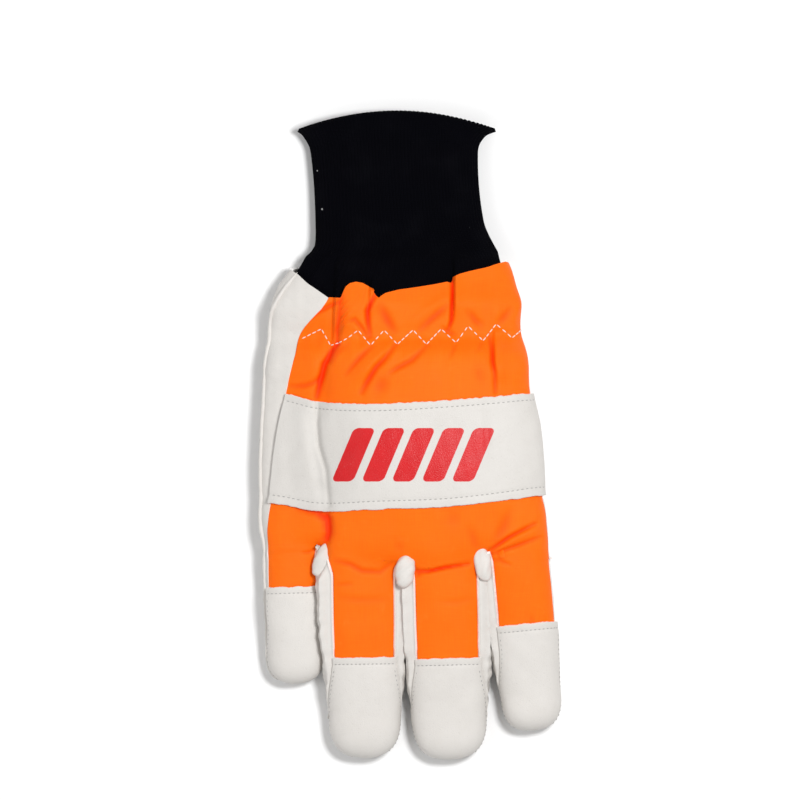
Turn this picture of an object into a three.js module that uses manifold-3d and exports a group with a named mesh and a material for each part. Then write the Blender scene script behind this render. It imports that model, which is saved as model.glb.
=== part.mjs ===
// A chainsaw work glove, right hand, lying on its palm with the thumb folded under it.
// The back is padded orange cloth gathered at the wrist, with a leather strap over the knuckles
// and leather caps on the fingertips. Palm, finger sides and thumb are leather, the cuff is rib knit.
// Millimetres. X runs across the hand towards the index finger, Y from the fingertips to the wrist, Z up.
import * as THREE from "three";
import Module from "manifold-3d";

const wasm = await Module();
wasm.setup();

// Driving dimensions of the body of the glove, from the finger forks to the wrist seam.
const BODY_WIDTH = 123;
const BODY_LENGTH = 130;
const BODY_THICKNESS = 24;
// Fingers, given for the middle one.
const FINGER_LENGTH = 86;
const FINGER_WIDTH = 35;
const FINGER_THICKNESS = 19;
// Thumb, from its root at the wrist side to its tip.
const THUMB_LENGTH = 86;
const THUMB_WIDTH = 31;
const THUMB_THICKNESS = 15;
// Cuff, above the wrist seam.
const CUFF_LENGTH = 68;
const CUFF_WIDTH = 73;
const CUFF_THICKNESS = 17;
const CUFF_TUCK = 12;
const RIBS = 84;
const RIB_HEIGHT = 0.45;
// Walls.
const LEATHER = 1.4;
const CLOTH = 1.8;
const KNIT = 1.6;
// Clearances, and the laps where one layer is sewn on top of another.
const SEAM_GAP = 0.5;
const LAYER_GAP = 0.4;
const THUMB_CLEARANCE = 0.6;
const LAP = 6;
// Past its lap a fingertip cap comes down to the palm leather's level over this length.
const CAP_SLOPE = 7;
// The leather and cloth are pressed flat by this much where they touch the surface below.
const SETTLE = 0.8;
// How softly the fingers run into the body, and how squarely the sections bulge.
const FORK_ROUND = 10;
const BLEND = 5;
const BODY_SQUARENESS = 2.8;
const FINGER_SQUARENESS = 2.5;

const LIFT = THUMB_THICKNESS + SETTLE + THUMB_CLEARANCE;

// Outline of the body. station: share of BODY_LENGTH from the middle fork to the wrist seam.
// left, right: shares of BODY_WIDTH from the glove's axis. seam: where the left seam lies on the back.
// thick: share of BODY_THICKNESS. lift: how far the thumb below raises this station, as a share of LIFT.
const BODY = [
  { station: -0.1, left: -0.52, right: 0.49, seam: -0.505, thick: 0.78, lift: 0.72 },
  { station: 0.037, left: -0.522, right: 0.488, seam: -0.511, thick: 0.85, lift: 0.82 },
  { station: 0.114, left: -0.527, right: 0.47, seam: -0.512, thick: 0.91, lift: 0.9 },
  { station: 0.206, left: -0.534, right: 0.472, seam: -0.511, thick: 0.96, lift: 0.97 },
  { station: 0.333, left: -0.536, right: 0.468, seam: -0.501, thick: 1, lift: 1 },
  { station: 0.468, left: -0.531, right: 0.4545, seam: -0.48, thick: 1, lift: 1 },
  { station: 0.583, left: -0.524, right: 0.429, seam: -0.448, thick: 1, lift: 1 },
  { station: 0.702, left: -0.514, right: 0.42, seam: -0.412, thick: 1, lift: 0.86 },
  { station: 0.783, left: -0.507, right: 0.397, seam: -0.388, thick: 1, lift: 0.62 },
  { station: 0.883, left: -0.4935, right: 0.395, seam: -0.3, thick: 1, lift: 0.36 },
  { station: 0.937, left: -0.4715, right: 0.38, seam: -0.28, thick: 1, lift: 0.25 },
  { station: 0.992, left: -0.43, right: 0.364, seam: -0.26, thick: 1, lift: 0.16 },
  { station: 1.03, left: -0.405, right: 0.346, seam: -0.25, thick: 0.98, lift: 0.12 },
];

// How the lift of the thumb fades across the hand. across: share of BODY_WIDTH.
const ACROSS = [
  { across: -0.56, share: 0 },
  { across: -0.44, share: 0.05 },
  { across: -0.32, share: 0.34 },
  { across: -0.18, share: 0.8 },
  { across: 0.0, share: 1 },
  { across: 0.34, share: 1 },
  { across: 0.48, share: 0.86 },
  { across: 0.6, share: 0.8 },
];

// Fingers. across: the axis at the fork line, share of BODY_WIDTH. reach: tip, share of FINGER_LENGTH.
// wide, tip: widths at root and tip, shares of FINGER_WIDTH. thick: share of FINGER_THICKNESS.
// cap: where the fingertip cap starts, share of the finger's reach. lean: degrees towards the index side.
// lift: how far the thumb below raises its root, as a share of LIFT.
const FINGERS = [
  {
    name: "little", across: -0.418, reach: 0.61, wide: 0.705, tip: 0.69, thick: 0.92,
    cap: 0.2, lean: 1.5, lift: 0.2,
  },
  {
    name: "ring", across: -0.168, reach: 0.99, wide: 0.94, tip: 0.86, thick: 1,
    cap: 0.49, lean: 0.7, lift: 0.74,
  },
  {
    name: "middle", across: 0.127, reach: 1, wide: 0.96, tip: 0.9, thick: 1,
    cap: 0.49, lean: 1.4, lift: 0.92,
  },
  {
    name: "index", across: 0.387, reach: 0.85, wide: 0.79, tip: 0.72, thick: 1,
    cap: 0.37, lean: 5.4, lift: 0.86,
  },
];

// The forks between them. across: share of BODY_WIDTH. up: share of BODY_LENGTH from the middle fork.
const FORKS = [
  { across: -0.56, up: 0.06 },
  { across: -0.314, up: 0.052 },
  { across: -0.02, up: 0 },
  { across: 0.27, up: 0.03 },
  { across: 0.52, up: 0.05 },
];
const FORK_HALF_WIDTH = 1.1;

// Seams round a finger, in degrees from straight up: the back seam on an inner side, on the little
// finger's outer side and on the index finger's, and the palm seam under the fork strips.
const BACK_SEAM = 44;
const LITTLE_SEAM = 56;
const INDEX_SEAM = 72;
const PALM_SEAM = 126;

// The gathered wrist edge of the back. across: share of BODY_WIDTH. up: share of BODY_LENGTH.
const RUFFLE_EDGE = [
  { across: -0.3, up: 0.9 },
  { across: -0.256, up: 0.901 },
  { across: -0.246, up: 0.906 },
  { across: -0.229, up: 0.928 },
  { across: -0.197, up: 0.951 },
  { across: -0.158, up: 0.936 },
  { across: -0.113, up: 0.911 },
  { across: -0.069, up: 0.918 },
  { across: 0.035, up: 0.933 },
  { across: 0.146, up: 0.953 },
  { across: 0.156, up: 0.945 },
  { across: 0.163, up: 0.978 },
  { across: 0.258, up: 0.997 },
  { across: 0.346, up: 1.022 },
  { across: 0.5, up: 1.03 },
];

// Knife pleats on the back above and below the elastic. across: share of BODY_WIDTH.
// from, to: shares of BODY_LENGTH. high: the step, run: how far it dies away, in shares of BODY_THICKNESS.
const PLEATS = [
  { across: -0.262, lean: -0.05, from: 0.66, to: 1.05, high: 0.2, run: 0.9 },
  { across: -0.14, lean: -0.06, from: 0.83, to: 0.97, high: 0.1, run: 0.5 },
  { across: 0.158, lean: 0, from: 0.8, to: 1.05, high: 0.15, run: 0.75 },
  { across: 0.3, lean: 0, from: 0.6, to: 0.8, high: 0.08, run: 0.5 },
];

// The long crease between the little finger's side and the rest, from the wrist to the first fork.
// depth: share of BODY_THICKNESS.
const CREASE = [
  { up: -0.1, across: -0.314, depth: 0 },
  { up: 0.06, across: -0.314, depth: 0.04 },
  { up: 0.18, across: -0.302, depth: 0.07 },
  { up: 0.26, across: -0.317, depth: 0.1 },
  { up: 0.46, across: -0.341, depth: 0.13 },
  { up: 0.55, across: -0.318, depth: 0.15 },
  { up: 0.7, across: -0.3, depth: 0.15 },
  { up: 0.76, across: -0.272, depth: 0.17 },
  { up: 0.9, across: -0.256, depth: 0.16 },
  { up: 1.05, across: -0.25, depth: 0.12 },
];
const CREASE_WIDTH = 6;

// Elastic on the back: it pinches the cloth, which puffs up on both sides of it.
const ELASTIC_UP = 0.765;
const PINCH = 2.2;
const PUFF_ABOVE = 1.6;
const PUFF_BELOW = 1.4;

// The knuckle strap's two edges. across: share of BODY_WIDTH. wrist, finger: shares of BODY_LENGTH.
const STRAP = [
  { across: -0.54, wrist: 0.585, finger: 0.207 },
  { across: -0.452, wrist: 0.574, finger: 0.196 },
  { across: -0.325, wrist: 0.546, finger: 0.175 },
  { across: -0.125, wrist: 0.539, finger: 0.181 },
  { across: 0.154, wrist: 0.553, finger: 0.192 },
  { across: 0.48, wrist: 0.579, finger: 0.23 },
];

// The cuff above the wrist seam. rise: share of CUFF_LENGTH. left, right: shares of CUFF_WIDTH.
// thick: share of CUFF_THICKNESS. sag: how far its sides hang below its middle, share of CUFF_LENGTH.
const CUFF = [
  { rise: 0.03, left: -0.655, right: 0.57, thick: 1.15, sag: 0 },
  { rise: 0.1, left: -0.585, right: 0.53, thick: 1.05, sag: 0 },
  { rise: 0.3, left: -0.57, right: 0.445, thick: 0.95, sag: 0 },
  { rise: 0.78, left: -0.6, right: 0.41, thick: 0.85, sag: 0.03 },
  { rise: 0.93, left: -0.645, right: 0.455, thick: 0.9, sag: 0.08 },
  { rise: 1.01, left: -0.68, right: 0.52, thick: 1.02, sag: 0.13 },
];

// The thumb under the palm. along: share of THUMB_LENGTH from its root. across: share of BODY_WIDTH.
// high: height of its middle, wide: share of THUMB_WIDTH. Heights are shares of THUMB_THICKNESS.
const THUMB = [
  { along: 0, across: 0.27, high: 1.35, wide: 0.95 },
  { along: 0.15, across: 0.262, high: 1.02, wide: 1.02 },
  { along: 0.32, across: 0.25, high: 0.66, wide: 1.04 },
  { along: 0.5, across: 0.232, high: 0.5, wide: 1 },
  { along: 0.75, across: 0.2, high: 0.45, wide: 0.95 },
  { along: 1, across: 0.165, high: 0.45, wide: 0.88 },
];
const THUMB_ROOT_UP = 0.78;

// Colours, roughness and metalness of the materials.
const FINISHES = {
  leather: { color: 0xe6e2dc, roughness: 0.62, metalness: 0 },
  cloth: { color: 0xff6a10, roughness: 0.55, metalness: 0 },
  knit: { color: 0x0b0b10, roughness: 0.95, metalness: 0 },
};

const clamp = (v, low, high) => Math.min(high, Math.max(low, v));
const mix = (a, b, t) => a + (b - a) * t;
const ease = (a, b, v) => {
  const t = clamp((v - a) / (b - a), 0, 1);
  return t * t * (3 - 2 * t);
};
const radians = THREE.MathUtils.degToRad;

// Reads a column of a table at a place, on a smooth curve through its rows.
function read(table, key, at, column) {
  const last = table.length - 1;
  if (at <= table[0][key]) return table[0][column];
  if (at >= table[last][key]) return table[last][column];
  let i = 0;
  while (at > table[i + 1][key]) i++;
  const slope = (j) => {
    const a = table[Math.max(0, j - 1)];
    const b = table[Math.min(last, j + 1)];
    return (b[column] - a[column]) / (b[key] - a[key]);
  };
  const [p, q] = [table[i], table[i + 1]];
  const h = q[key] - p[key];
  const t = (at - p[key]) / h;
  const t2 = t * t;
  const t3 = t2 * t;
  return (
    (2 * t3 - 3 * t2 + 1) * p[column] +
    (t3 - 2 * t2 + t) * h * slope(i) +
    (3 * t2 - 2 * t3) * q[column] +
    (t3 - t2) * h * slope(i + 1)
  );
}

// The same on straight lines, for edges with corners.
function readStraight(table, key, at, column) {
  const last = table.length - 1;
  if (at <= table[0][key]) return table[0][column];
  if (at >= table[last][key]) return table[last][column];
  let i = 0;
  while (at > table[i + 1][key]) i++;
  const t = (at - table[i][key]) / (table[i + 1][key] - table[i][key]);
  return mix(table[i][column], table[i + 1][column], t);
}

// Distance of a point from a rounded section with half sizes a and b; past its end, of length r,
// the section closes like a dome. Negative inside.
function sectionDistance(w, h, past, a, b, r, squareness) {
  const parts = [
    [Math.abs(w), a],
    [Math.abs(h), b],
    [Math.max(0, past), r],
  ];
  const sum = parts.reduce((s, [v, size]) => s + (v / size) ** squareness, 0);
  if (sum < 1e-9) return -Math.min(a, b);
  const radius = sum ** (1 / squareness);
  const steep = Math.hypot(...parts.map(([v, size]) => (v / size) ** (squareness - 1) / size));
  return (radius - 1) / (steep * radius ** (1 - squareness));
}

const softMin = (a, b, k) => {
  const h = Math.max(0, k - Math.abs(a - b)) / k;
  return Math.min(a, b) - (h * h * k) / 4;
};

// Body of the glove.
const up = (y) => y / BODY_LENGTH;
const bodyLeft = (y) => read(BODY, "station", up(y), "left") * BODY_WIDTH;
const bodyRight = (y) => read(BODY, "station", up(y), "right") * BODY_WIDTH;
const forkLine = (x) => read(FORKS, "across", x / BODY_WIDTH, "up") * BODY_LENGTH;
const bodyHalf = (y) => (read(BODY, "station", up(y), "thick") * BODY_THICKNESS) / 2;
const bodyMiddle = (x, y) =>
  bodyHalf(y) - SETTLE +
  LIFT * read(BODY, "station", up(y), "lift") * read(ACROSS, "across", x / BODY_WIDTH, "share");

function bodyDistance(x, y, z) {
  const left = bodyLeft(y);
  const right = bodyRight(y);
  const past = forkLine(x) + 0.9 * FORK_ROUND - y;
  return sectionDistance(
    x - (left + right) / 2, z - bodyMiddle(x, y), past,
    (right - left) / 2, bodyHalf(y), FORK_ROUND, BODY_SQUARENESS,
  );
}

// Fingers, each with its own axis: a point of it at a station, and its half width there.
const DOME_SHARE = 0.52;
const fingers = FINGERS.map((row) => {
  const lean = radians(row.lean);
  const x = row.across * BODY_WIDTH;
  const along = [Math.sin(lean), -Math.cos(lean)];
  const halfThick = (row.thick * FINGER_THICKNESS) / 2;
  const reach = (row.reach * FINGER_LENGTH) / Math.cos(lean);
  const dome = row.tip * FINGER_WIDTH * DOME_SHARE;
  const height = (s) =>
    halfThick - SETTLE + LIFT * row.lift * (1 - ease(-0.25 * reach, 0.92 * reach, s));
  return {
    ...row, x, along, halfThick, reach, dome,
    side: [Math.cos(lean), Math.sin(lean)],
    domeStart: reach - dome,
    capStart: row.cap * reach,
    rootBack: FINGER_WIDTH / 2,
    stationOf: (px, py) => (px - x) * along[0] + py * along[1],
    axis: (s) => [x + along[0] * s, along[1] * s, height(s)],
    halfWidth: (s) => (FINGER_WIDTH / 2) * mix(row.wide, row.tip, ease(0.25 * reach, reach - dome, s)),
  };
});

// The thumb is one more of them.
const thumbRead = (s, column) => read(THUMB, "along", s / THUMB_LENGTH, column);
const thumbDome = (THUMB_WIDTH / 2) * 0.95;
const thumb = {
  along: [0, -1],
  side: [1, 0],
  halfThick: THUMB_THICKNESS / 2,
  reach: THUMB_LENGTH,
  dome: thumbDome,
  domeStart: THUMB_LENGTH - thumbDome,
  rootBack: 0,
  stationOf: (x, y) => THUMB_ROOT_UP * BODY_LENGTH - y,
  axis: (s) => [
    thumbRead(s, "across") * BODY_WIDTH,
    THUMB_ROOT_UP * BODY_LENGTH - s,
    thumbRead(s, "high") * THUMB_THICKNESS - SETTLE,
  ],
  halfWidth: (s) => (thumbRead(s, "wide") * THUMB_WIDTH) / 2,
};

function fingerDistance(f, x, y, z) {
  const s = f.stationOf(x, y);
  const [cx, cy, cz] = f.axis(s);
  const w = (x - cx) * f.side[0] + (y - cy) * f.side[1];
  const past = Math.max(s - f.domeStart, -s - f.rootBack);
  return sectionDistance(w, z - cz, past, f.halfWidth(s), f.halfThick, f.dome, FINGER_SQUARENESS);
}

// Pleats, puffs and the long crease, which only the back has.
function backRelief(x, y) {
  const u = up(y);
  const across = x / BODY_WIDTH;
  const beside = (x - read(CREASE, "up", u, "across") * BODY_WIDTH) / CREASE_WIDTH;
  let rise = -read(CREASE, "up", u, "depth") * BODY_THICKNESS * Math.exp(-beside * beside);
  rise -= PINCH * Math.exp(-(((u - ELASTIC_UP) / 0.035) ** 2));
  rise += PUFF_ABOVE * Math.exp(-(((u - ELASTIC_UP - 0.11) / 0.06) ** 2));
  rise += PUFF_BELOW * Math.exp(-(((u - ELASTIC_UP + 0.1) / 0.06) ** 2));
  for (const pleat of PLEATS) {
    const from = x - (pleat.across + pleat.lean * (pleat.to - u)) * BODY_WIDTH;
    const length = ease(pleat.from, mix(pleat.from, pleat.to, 0.4), u) *
      (1 - ease(mix(pleat.from, pleat.to, 0.9), pleat.to, u));
    const step = ease(-0.7, 0.7, from) * Math.exp(-Math.max(0, from) / (pleat.run * BODY_THICKNESS));
    rise += pleat.high * BODY_THICKNESS * length * step;
  }
  return rise * ease(-0.58, -0.5, across);
}

// The whole hand of the glove: distance of a point from its outer face.
function handDistance([x, y, z]) {
  const all = fingers.map((f) => fingerDistance(f, x, y, z));
  const whole = softMin(bodyDistance(x, y, z), Math.min(...all), BLEND);
  const onBack = ease(0, 0.35 * BODY_THICKNESS, z - bodyMiddle(x, y));
  return y > -FORK_ROUND ? whole - backRelief(x, y) * onBack : whole;
}

// Walks along a ray until the distance passes the level, then closes in on it.
const MARCH = 0.5;
const REACH = 70;
const HALVINGS = 14;
function hit(ray, level, distance) {
  const { from, to } = ray;
  const at = (t) => from.map((v, i) => v + to[i] * t);
  let near = 0;
  let far = MARCH;
  while (distance(at(far)) < level && far < REACH) {
    near = far;
    far += MARCH;
  }
  for (let i = 0; i < HALVINGS; i++) {
    const middle = (near + far) / 2;
    if (distance(at(middle)) < level) near = middle;
    else far = middle;
  }
  return at(near);
}

const unit = (v) => {
  const size = Math.hypot(...v);
  return v.map((c) => c / size);
};
const blendRays = (a, b, t) => ({
  from: a.from.map((v, i) => mix(v, b.from[i], t)),
  to: unit(a.to.map((v, i) => mix(v, b.to[i], t))),
});

// Walks round a section with a flat middle and two half round sides, starting at the middle of its
// back and going right for a positive length; gives the ray's offset across and its turn from up.
function around(length, flat, radius) {
  const bend = Math.PI * radius;
  const hand = length < 0 ? -1 : 1;
  const far = Math.abs(length);
  if (far <= flat) return [length, 0];
  if (far <= flat + bend) return [hand * flat, (hand * (far - flat)) / radius];
  if (far <= 3 * flat + bend) return [hand * (2 * flat + bend - far), hand * Math.PI];
  return [-hand * flat, hand * (Math.PI + (far - 3 * flat - bend) / radius)];
}
const wholeWay = (flat, radius) => 4 * flat + 2 * Math.PI * radius;

// Rays of the body at a station, and where its seams are on the way round.
const bodyRadius = BODY_THICKNESS / 2;
const bodyFlat = (y) => (bodyRight(y) - bodyLeft(y)) / 2 - bodyRadius;
const bodyCentre = (y) => (bodyRight(y) + bodyLeft(y)) / 2;
function bodyRay(y, length) {
  const [offset, turn] = around(length, bodyFlat(y), bodyRadius);
  const x = bodyCentre(y) + offset;
  return { from: [x, y, bodyMiddle(x, y)], to: [Math.sin(turn), 0, Math.cos(turn)] };
}
const backPlace = (x, y) => {
  const off = x - bodyCentre(y);
  const past = Math.abs(off) - bodyFlat(y);
  if (past <= 0) return off;
  return Math.sign(off) * (bodyFlat(y) + bodyRadius * Math.asin(Math.min(1, past / bodyRadius)));
};
const palmPlace = (x, y) => -(x - bodyCentre(y) + 2 * bodyFlat(y) + Math.PI * bodyRadius);
const leftSeam = (y) => backPlace(read(BODY, "station", up(y), "seam") * BODY_WIDTH, y);
const rightSeam = (y) => bodyFlat(y) + (Math.PI / 2) * bodyRadius;

const fingerFlat = (f, s) => Math.max(0.5, f.halfWidth(s) - f.halfThick);

// Rays of a finger. Past the start of its dome they tilt towards the tip; there the ones of the back
// and of the palm are moved apart, so that the two pieces keep their gap.
function fingerRay(f, s, length, apart) {
  const over = Math.max(0, s - f.domeStart) / f.dome;
  const tilt = Math.min(1, over) * (Math.PI / 2);
  const station = Math.min(s, f.domeStart);
  const [offset, turn] = around(length, fingerFlat(f, station), f.halfThick);
  const [x, y, z] = f.axis(station);
  const across = Math.sin(turn) * Math.cos(tilt);
  return {
    from: [x + f.side[0] * offset, y + f.side[1] * offset, z + apart * (SEAM_GAP / 2) * Math.sin(tilt)],
    to: [
      f.side[0] * across + f.along[0] * Math.sin(tilt),
      f.side[1] * across + f.along[1] * Math.sin(tilt),
      Math.cos(turn) * Math.cos(tilt),
    ],
  };
}

// Seams of a finger on the way round its section: back and palm seams meet near the tip.
const SEAMS_TURN = 0.5;
const SEAMS_MEET = 0.88;
const STRIP_END = 0.8;
function fingerSeams(f, s) {
  const flat = fingerFlat(f, Math.min(s, f.domeStart));
  const near = radians(90) - SEAM_GAP / 2 / f.halfThick;
  const t = ease(SEAMS_TURN * f.reach, SEAMS_MEET * f.reach, s);
  const place = (degrees, end) => flat + f.halfThick * mix(radians(degrees), end, t);
  return {
    whole: wholeWay(flat, f.halfThick),
    back: place(BACK_SEAM, near),
    little: place(LITTLE_SEAM, near),
    index: place(INDEX_SEAM, near),
    palm: place(PALM_SEAM, Math.PI - near),
  };
}

// Where finger k starts, and the x of the forks on its two sides.
const LAST = FINGERS.length - 1;
const rootStation = (f) => -forkLine(f.x);
const forkX = (k) => FORKS[k].across * BODY_WIDTH;

// How far a ray near a fork belongs to the finger rather than to the body.
const FORK_SPAN = 9;
const fingerShare = (s, f) => ease(-0.3 * FORK_SPAN, FORK_SPAN, s - rootStation(f));

// Near a fork the body falls away to it, and its rays lean over that way.
const FORK_LEAN = 0.8;
function leanedRay(ray, past) {
  const lean = FORK_LEAN * ease(-1.2 * FORK_ROUND, 0, past);
  const { from, to } = ray;
  return {
    from: [from[0], from[1] + lean * 0.6 * bodyRadius, from[2]],
    to: unit([to[0], to[1] - lean, to[2]]),
  };
}

// Ray of the back of finger k, and of the body above it; across runs from 0 on its left to 1.
function backRay(k, s, across, y) {
  const f = fingers[k];
  const left = k === 0 ? leftSeam(y) + SEAM_GAP / 2 : backPlace(forkX(k) + FORK_HALF_WIDTH, y);
  const right = k === LAST ? rightSeam(y) - SEAM_GAP / 2 : backPlace(forkX(k + 1) - FORK_HALF_WIDTH, y);
  const seams = fingerSeams(f, s);
  const from = k === 0 ? -seams.little : -seams.back;
  const to = k === LAST ? seams.index : seams.back;
  const gap = SEAM_GAP / 2;
  return blendRays(
    leanedRay(bodyRay(y, mix(left, right, across)), s - rootStation(f)),
    fingerRay(f, s, mix(from + (k === 0 ? gap : 0), to - (k === LAST ? gap : 0), across), 1),
    fingerShare(s, f),
  );
}

// The same for the palm side, still from the finger's left to its right, under the hand.
function palmRay(k, s, across, y) {
  const f = fingers[k];
  const gap = SEAM_GAP / 2;
  const left = k === 0 ? leftSeam(y) - gap : palmPlace(forkX(k) + FORK_HALF_WIDTH, y);
  const right = k === LAST
    ? rightSeam(y) + gap - wholeWay(bodyFlat(y), bodyRadius)
    : palmPlace(forkX(k + 1) - FORK_HALF_WIDTH, y);
  const seams = fingerSeams(f, s);
  const from = k === 0 ? -seams.little - gap : -seams.palm;
  const to = (k === LAST ? seams.index + gap : seams.palm) - seams.whole;
  return blendRays(
    leanedRay(bodyRay(y, mix(left, right, across)), s - rootStation(f)),
    fingerRay(f, s, mix(from, to, across), -1),
    fingerShare(s, f),
  );
}

// Closed solid from a grid of points on its two faces. point(i, j) gives [outer, inner];
// has(i, j) tells whether the cell between rows i, i + 1 and columns j, j + 1 is there.
function solidOf(rows, cols, point, has = () => true) {
  const places = [];
  const seen = new Map();
  const index = (p) => {
    const key = p.map((v) => Math.round(v * 5000)).join();
    if (!seen.has(key)) {
      seen.set(key, places.length);
      places.push(p);
    }
    return seen.get(key);
  };
  const grid = new Map();
  const corner = (i, j) => {
    const key = i * (cols + 1) + j;
    if (!grid.has(key)) grid.set(key, point(i, j).map(index));
    return grid.get(key);
  };
  const cell = (i, j) => i >= 0 && j >= 0 && i < rows && j < cols && has(i, j);
  const triangles = [];
  const add = (a, b, c) => {
    if (a !== b && b !== c && c !== a) triangles.push([a, b, c]);
  };
  const apart = (a, b) => Math.hypot(...places[a].map((v, i) => v - places[b][i]));
  for (let i = 0; i < rows; i++) {
    for (let j = 0; j < cols; j++) {
      if (!cell(i, j)) continue;
      const [a, b, c, d] = [corner(i, j), corner(i, j + 1), corner(i + 1, j + 1), corner(i + 1, j)];
      const across = apart(a[0], c[0]) <= apart(b[0], d[0]);
      const split = across ? [[a, b, c], [a, c, d]] : [[a, b, d], [b, c, d]];
      for (const [p, q, r] of split) {
        add(p[0], q[0], r[0]);
        add(p[1], r[1], q[1]);
      }
      const wall = (p, q) => {
        add(p[0], p[1], q[1]);
        add(p[0], q[1], q[0]);
      };
      if (!cell(i - 1, j)) wall(a, b);
      if (!cell(i, j + 1)) wall(b, c);
      if (!cell(i + 1, j)) wall(c, d);
      if (!cell(i, j - 1)) wall(d, a);
    }
  }
  const volume = triangles.reduce((sum, [a, b, c]) => {
    const [p, q, r] = [a, b, c].map((v) => new THREE.Vector3(...places[v]));
    return sum + p.dot(q.cross(r));
  }, 0);
  return { places, triangles: volume < 0 ? triangles.map(([a, b, c]) => [a, c, b]) : triangles };
}

// Outer and inner points where a ray crosses a wall; what would sink below the table rests on it.
function wallAt(ray, outer, inner, distance = handDistance) {
  const [a, b] = [hit(ray, outer, distance), hit(ray, inner, distance)];
  a[2] = Math.max(a[2], 0);
  b[2] = Math.max(b[2], outer - inner);
  return [a, b];
}

const group = new THREE.Group();
group.name = "chainsaw_glove";
function addPiece(name, material, solid) {
  const geometry = new THREE.BufferGeometry();
  geometry.setAttribute("position", new THREE.Float32BufferAttribute(solid.places.flat(), 3));
  geometry.setIndex(solid.triangles.flat());
  geometry.computeVertexNormals();
  const finish = new THREE.MeshStandardMaterial({ name: material, ...FINISHES[material] });
  const mesh = new THREE.Mesh(geometry, finish);
  mesh.name = name;
  group.add(mesh);
}

// Straight shares from 0 to 1.
const steps = (count) => Array.from({ length: count + 1 }, (_, i) => i / count);

// Edges that cross the back, as y at an x.
const strapWrist = (x) => read(STRAP, "across", x / BODY_WIDTH, "wrist") * BODY_LENGTH;
const strapFinger = (x) => read(STRAP, "across", x / BODY_WIDTH, "finger") * BODY_LENGTH;
const ruffle = (x) => readStraight(RUFFLE_EDGE, "across", x / BODY_WIDTH, "up") * BODY_LENGTH;

// Body rows between two edges across the back, from the left seam to the right one.
function acrossBack(edgeA, edgeB, rows, columns, outer, inner) {
  return solidOf(rows.length - 1, columns.length - 1, (i, j) => {
    const c = columns[j];
    const place = (y) => mix(leftSeam(y) + SEAM_GAP / 2, rightSeam(y) - SEAM_GAP / 2, c);
    const mid = (edgeA(0) + edgeB(0)) / 2;
    let y = mid;
    for (let n = 0; n < 3; n++) {
      const { from, to } = bodyRay(y, place(y));
      const x = from[0] + to[0] * bodyRadius;
      y = mix(edgeA(x), edgeB(x), rows[i]);
    }
    return wallAt(bodyRay(y, place(y)), outer, inner);
  });
}

// Upper back, with more columns where the cloth is gathered.
const gathers = [
  0, 0.03, 0.06, 0.09, 0.12, 0.15, 0.18, 0.22, 0.26, 0.3, 0.35, 0.41, 0.47, 0.53, 0.575, 0.59, 0.605,
  0.63, 0.67, 0.72, 0.76, 0.79, 0.82, 0.86, 0.9, 0.94, 0.97, 1,
];
addPiece("back_panel_upper", "cloth", acrossBack(
  (x) => strapWrist(x) - LAP, ruffle, steps(10), gathers, 0, -CLOTH,
));
const strapColumns = [
  0, 0.04, 0.08, 0.12, 0.16, 0.2, 0.25, 0.31, 0.38, 0.45, 0.52, 0.59, 0.66, 0.73, 0.79, 0.84, 0.88,
  0.91, 0.94, 0.97, 1,
];
addPiece("knuckle_strap", "leather", acrossBack(
  strapFinger, strapWrist, steps(5), strapColumns, LAYER_GAP + LEATHER, LAYER_GAP,
));

// Stations below each fork that all the pieces of a finger share.
const FORK_STATIONS = [0, 3, 6.5, 11];
function fingerStations(f, end) {
  const list = FORK_STATIONS.map((v) => rootStation(f) + v);
  const last = Math.min(end, f.domeStart);
  for (const t of [0.14, 0.28, 0.42, 0.56, 0.7, 0.85]) {
    const s = mix(rootStation(f), f.domeStart, t);
    if (s > list[list.length - 1] + 4 && s < last - 4) list.push(s);
  }
  list.push(last);
  if (end > f.domeStart) {
    for (const t of [0.25, 0.5, 0.75, 1]) list.push(f.domeStart + t * f.dome);
  }
  return list;
}

// A comb: body rows from an edge down to the forks, then the fingers, which share the columns but
// not the narrow webs between them. Fingers with fewer stations stop earlier.
function comb(ray, top, bodyRows, columns, ends, outer, inner) {
  const stations = fingers.map((f, k) => fingerStations(f, ends[k]));
  const longest = Math.max(...stations.map((list) => list.length));
  const owners = columns.flatMap((list, k) => list.map(() => k));
  const shares = columns.flat();
  const body = bodyRows.length - 1;
  return solidOf(body + longest - 1, shares.length - 1, (i, j) => {
    const k = owners[j];
    const c = shares[j];
    const f = fingers[k];
    const onFinger = Math.max(0, i - body);
    if (onFinger > 0) {
      const s = stations[k][onFinger];
      return wallAt(ray(k, s, c, f.along[1] * s), outer, inner);
    }
    const fork = forkLine(mix(forkX(k) + FORK_HALF_WIDTH, forkX(k + 1) - FORK_HALF_WIDTH, c));
    const at = (y) => ray(k, rootStation(f) + fork - y, c, y);
    let y = mix(BODY_LENGTH / 2, fork, bodyRows[i]);
    for (let n = 0; n < 3; n++) {
      const { from, to } = at(y);
      y = mix(top(from[0] + to[0] * bodyRadius, to[2] > 0), fork, bodyRows[i]);
    }
    return wallAt(at(y), outer, inner);
  }, (i, j) => {
    if (i < body) return true;
    return owners[j] === owners[j + 1] && i - body < stations[owners[j]].length - 1;
  });
}
const backColumns = [0, 0.14, 0.32, 0.5, 0.68, 0.86, 1];
addPiece("back_panel_lower", "cloth", comb(
  backRay, (x) => strapFinger(x) + LAP, [0, 0.28, 0.52, 0.72, 0.88, 1], fingers.map(() => backColumns),
  fingers.map((f) => f.capStart + LAP), 0, -CLOTH,
));

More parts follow.
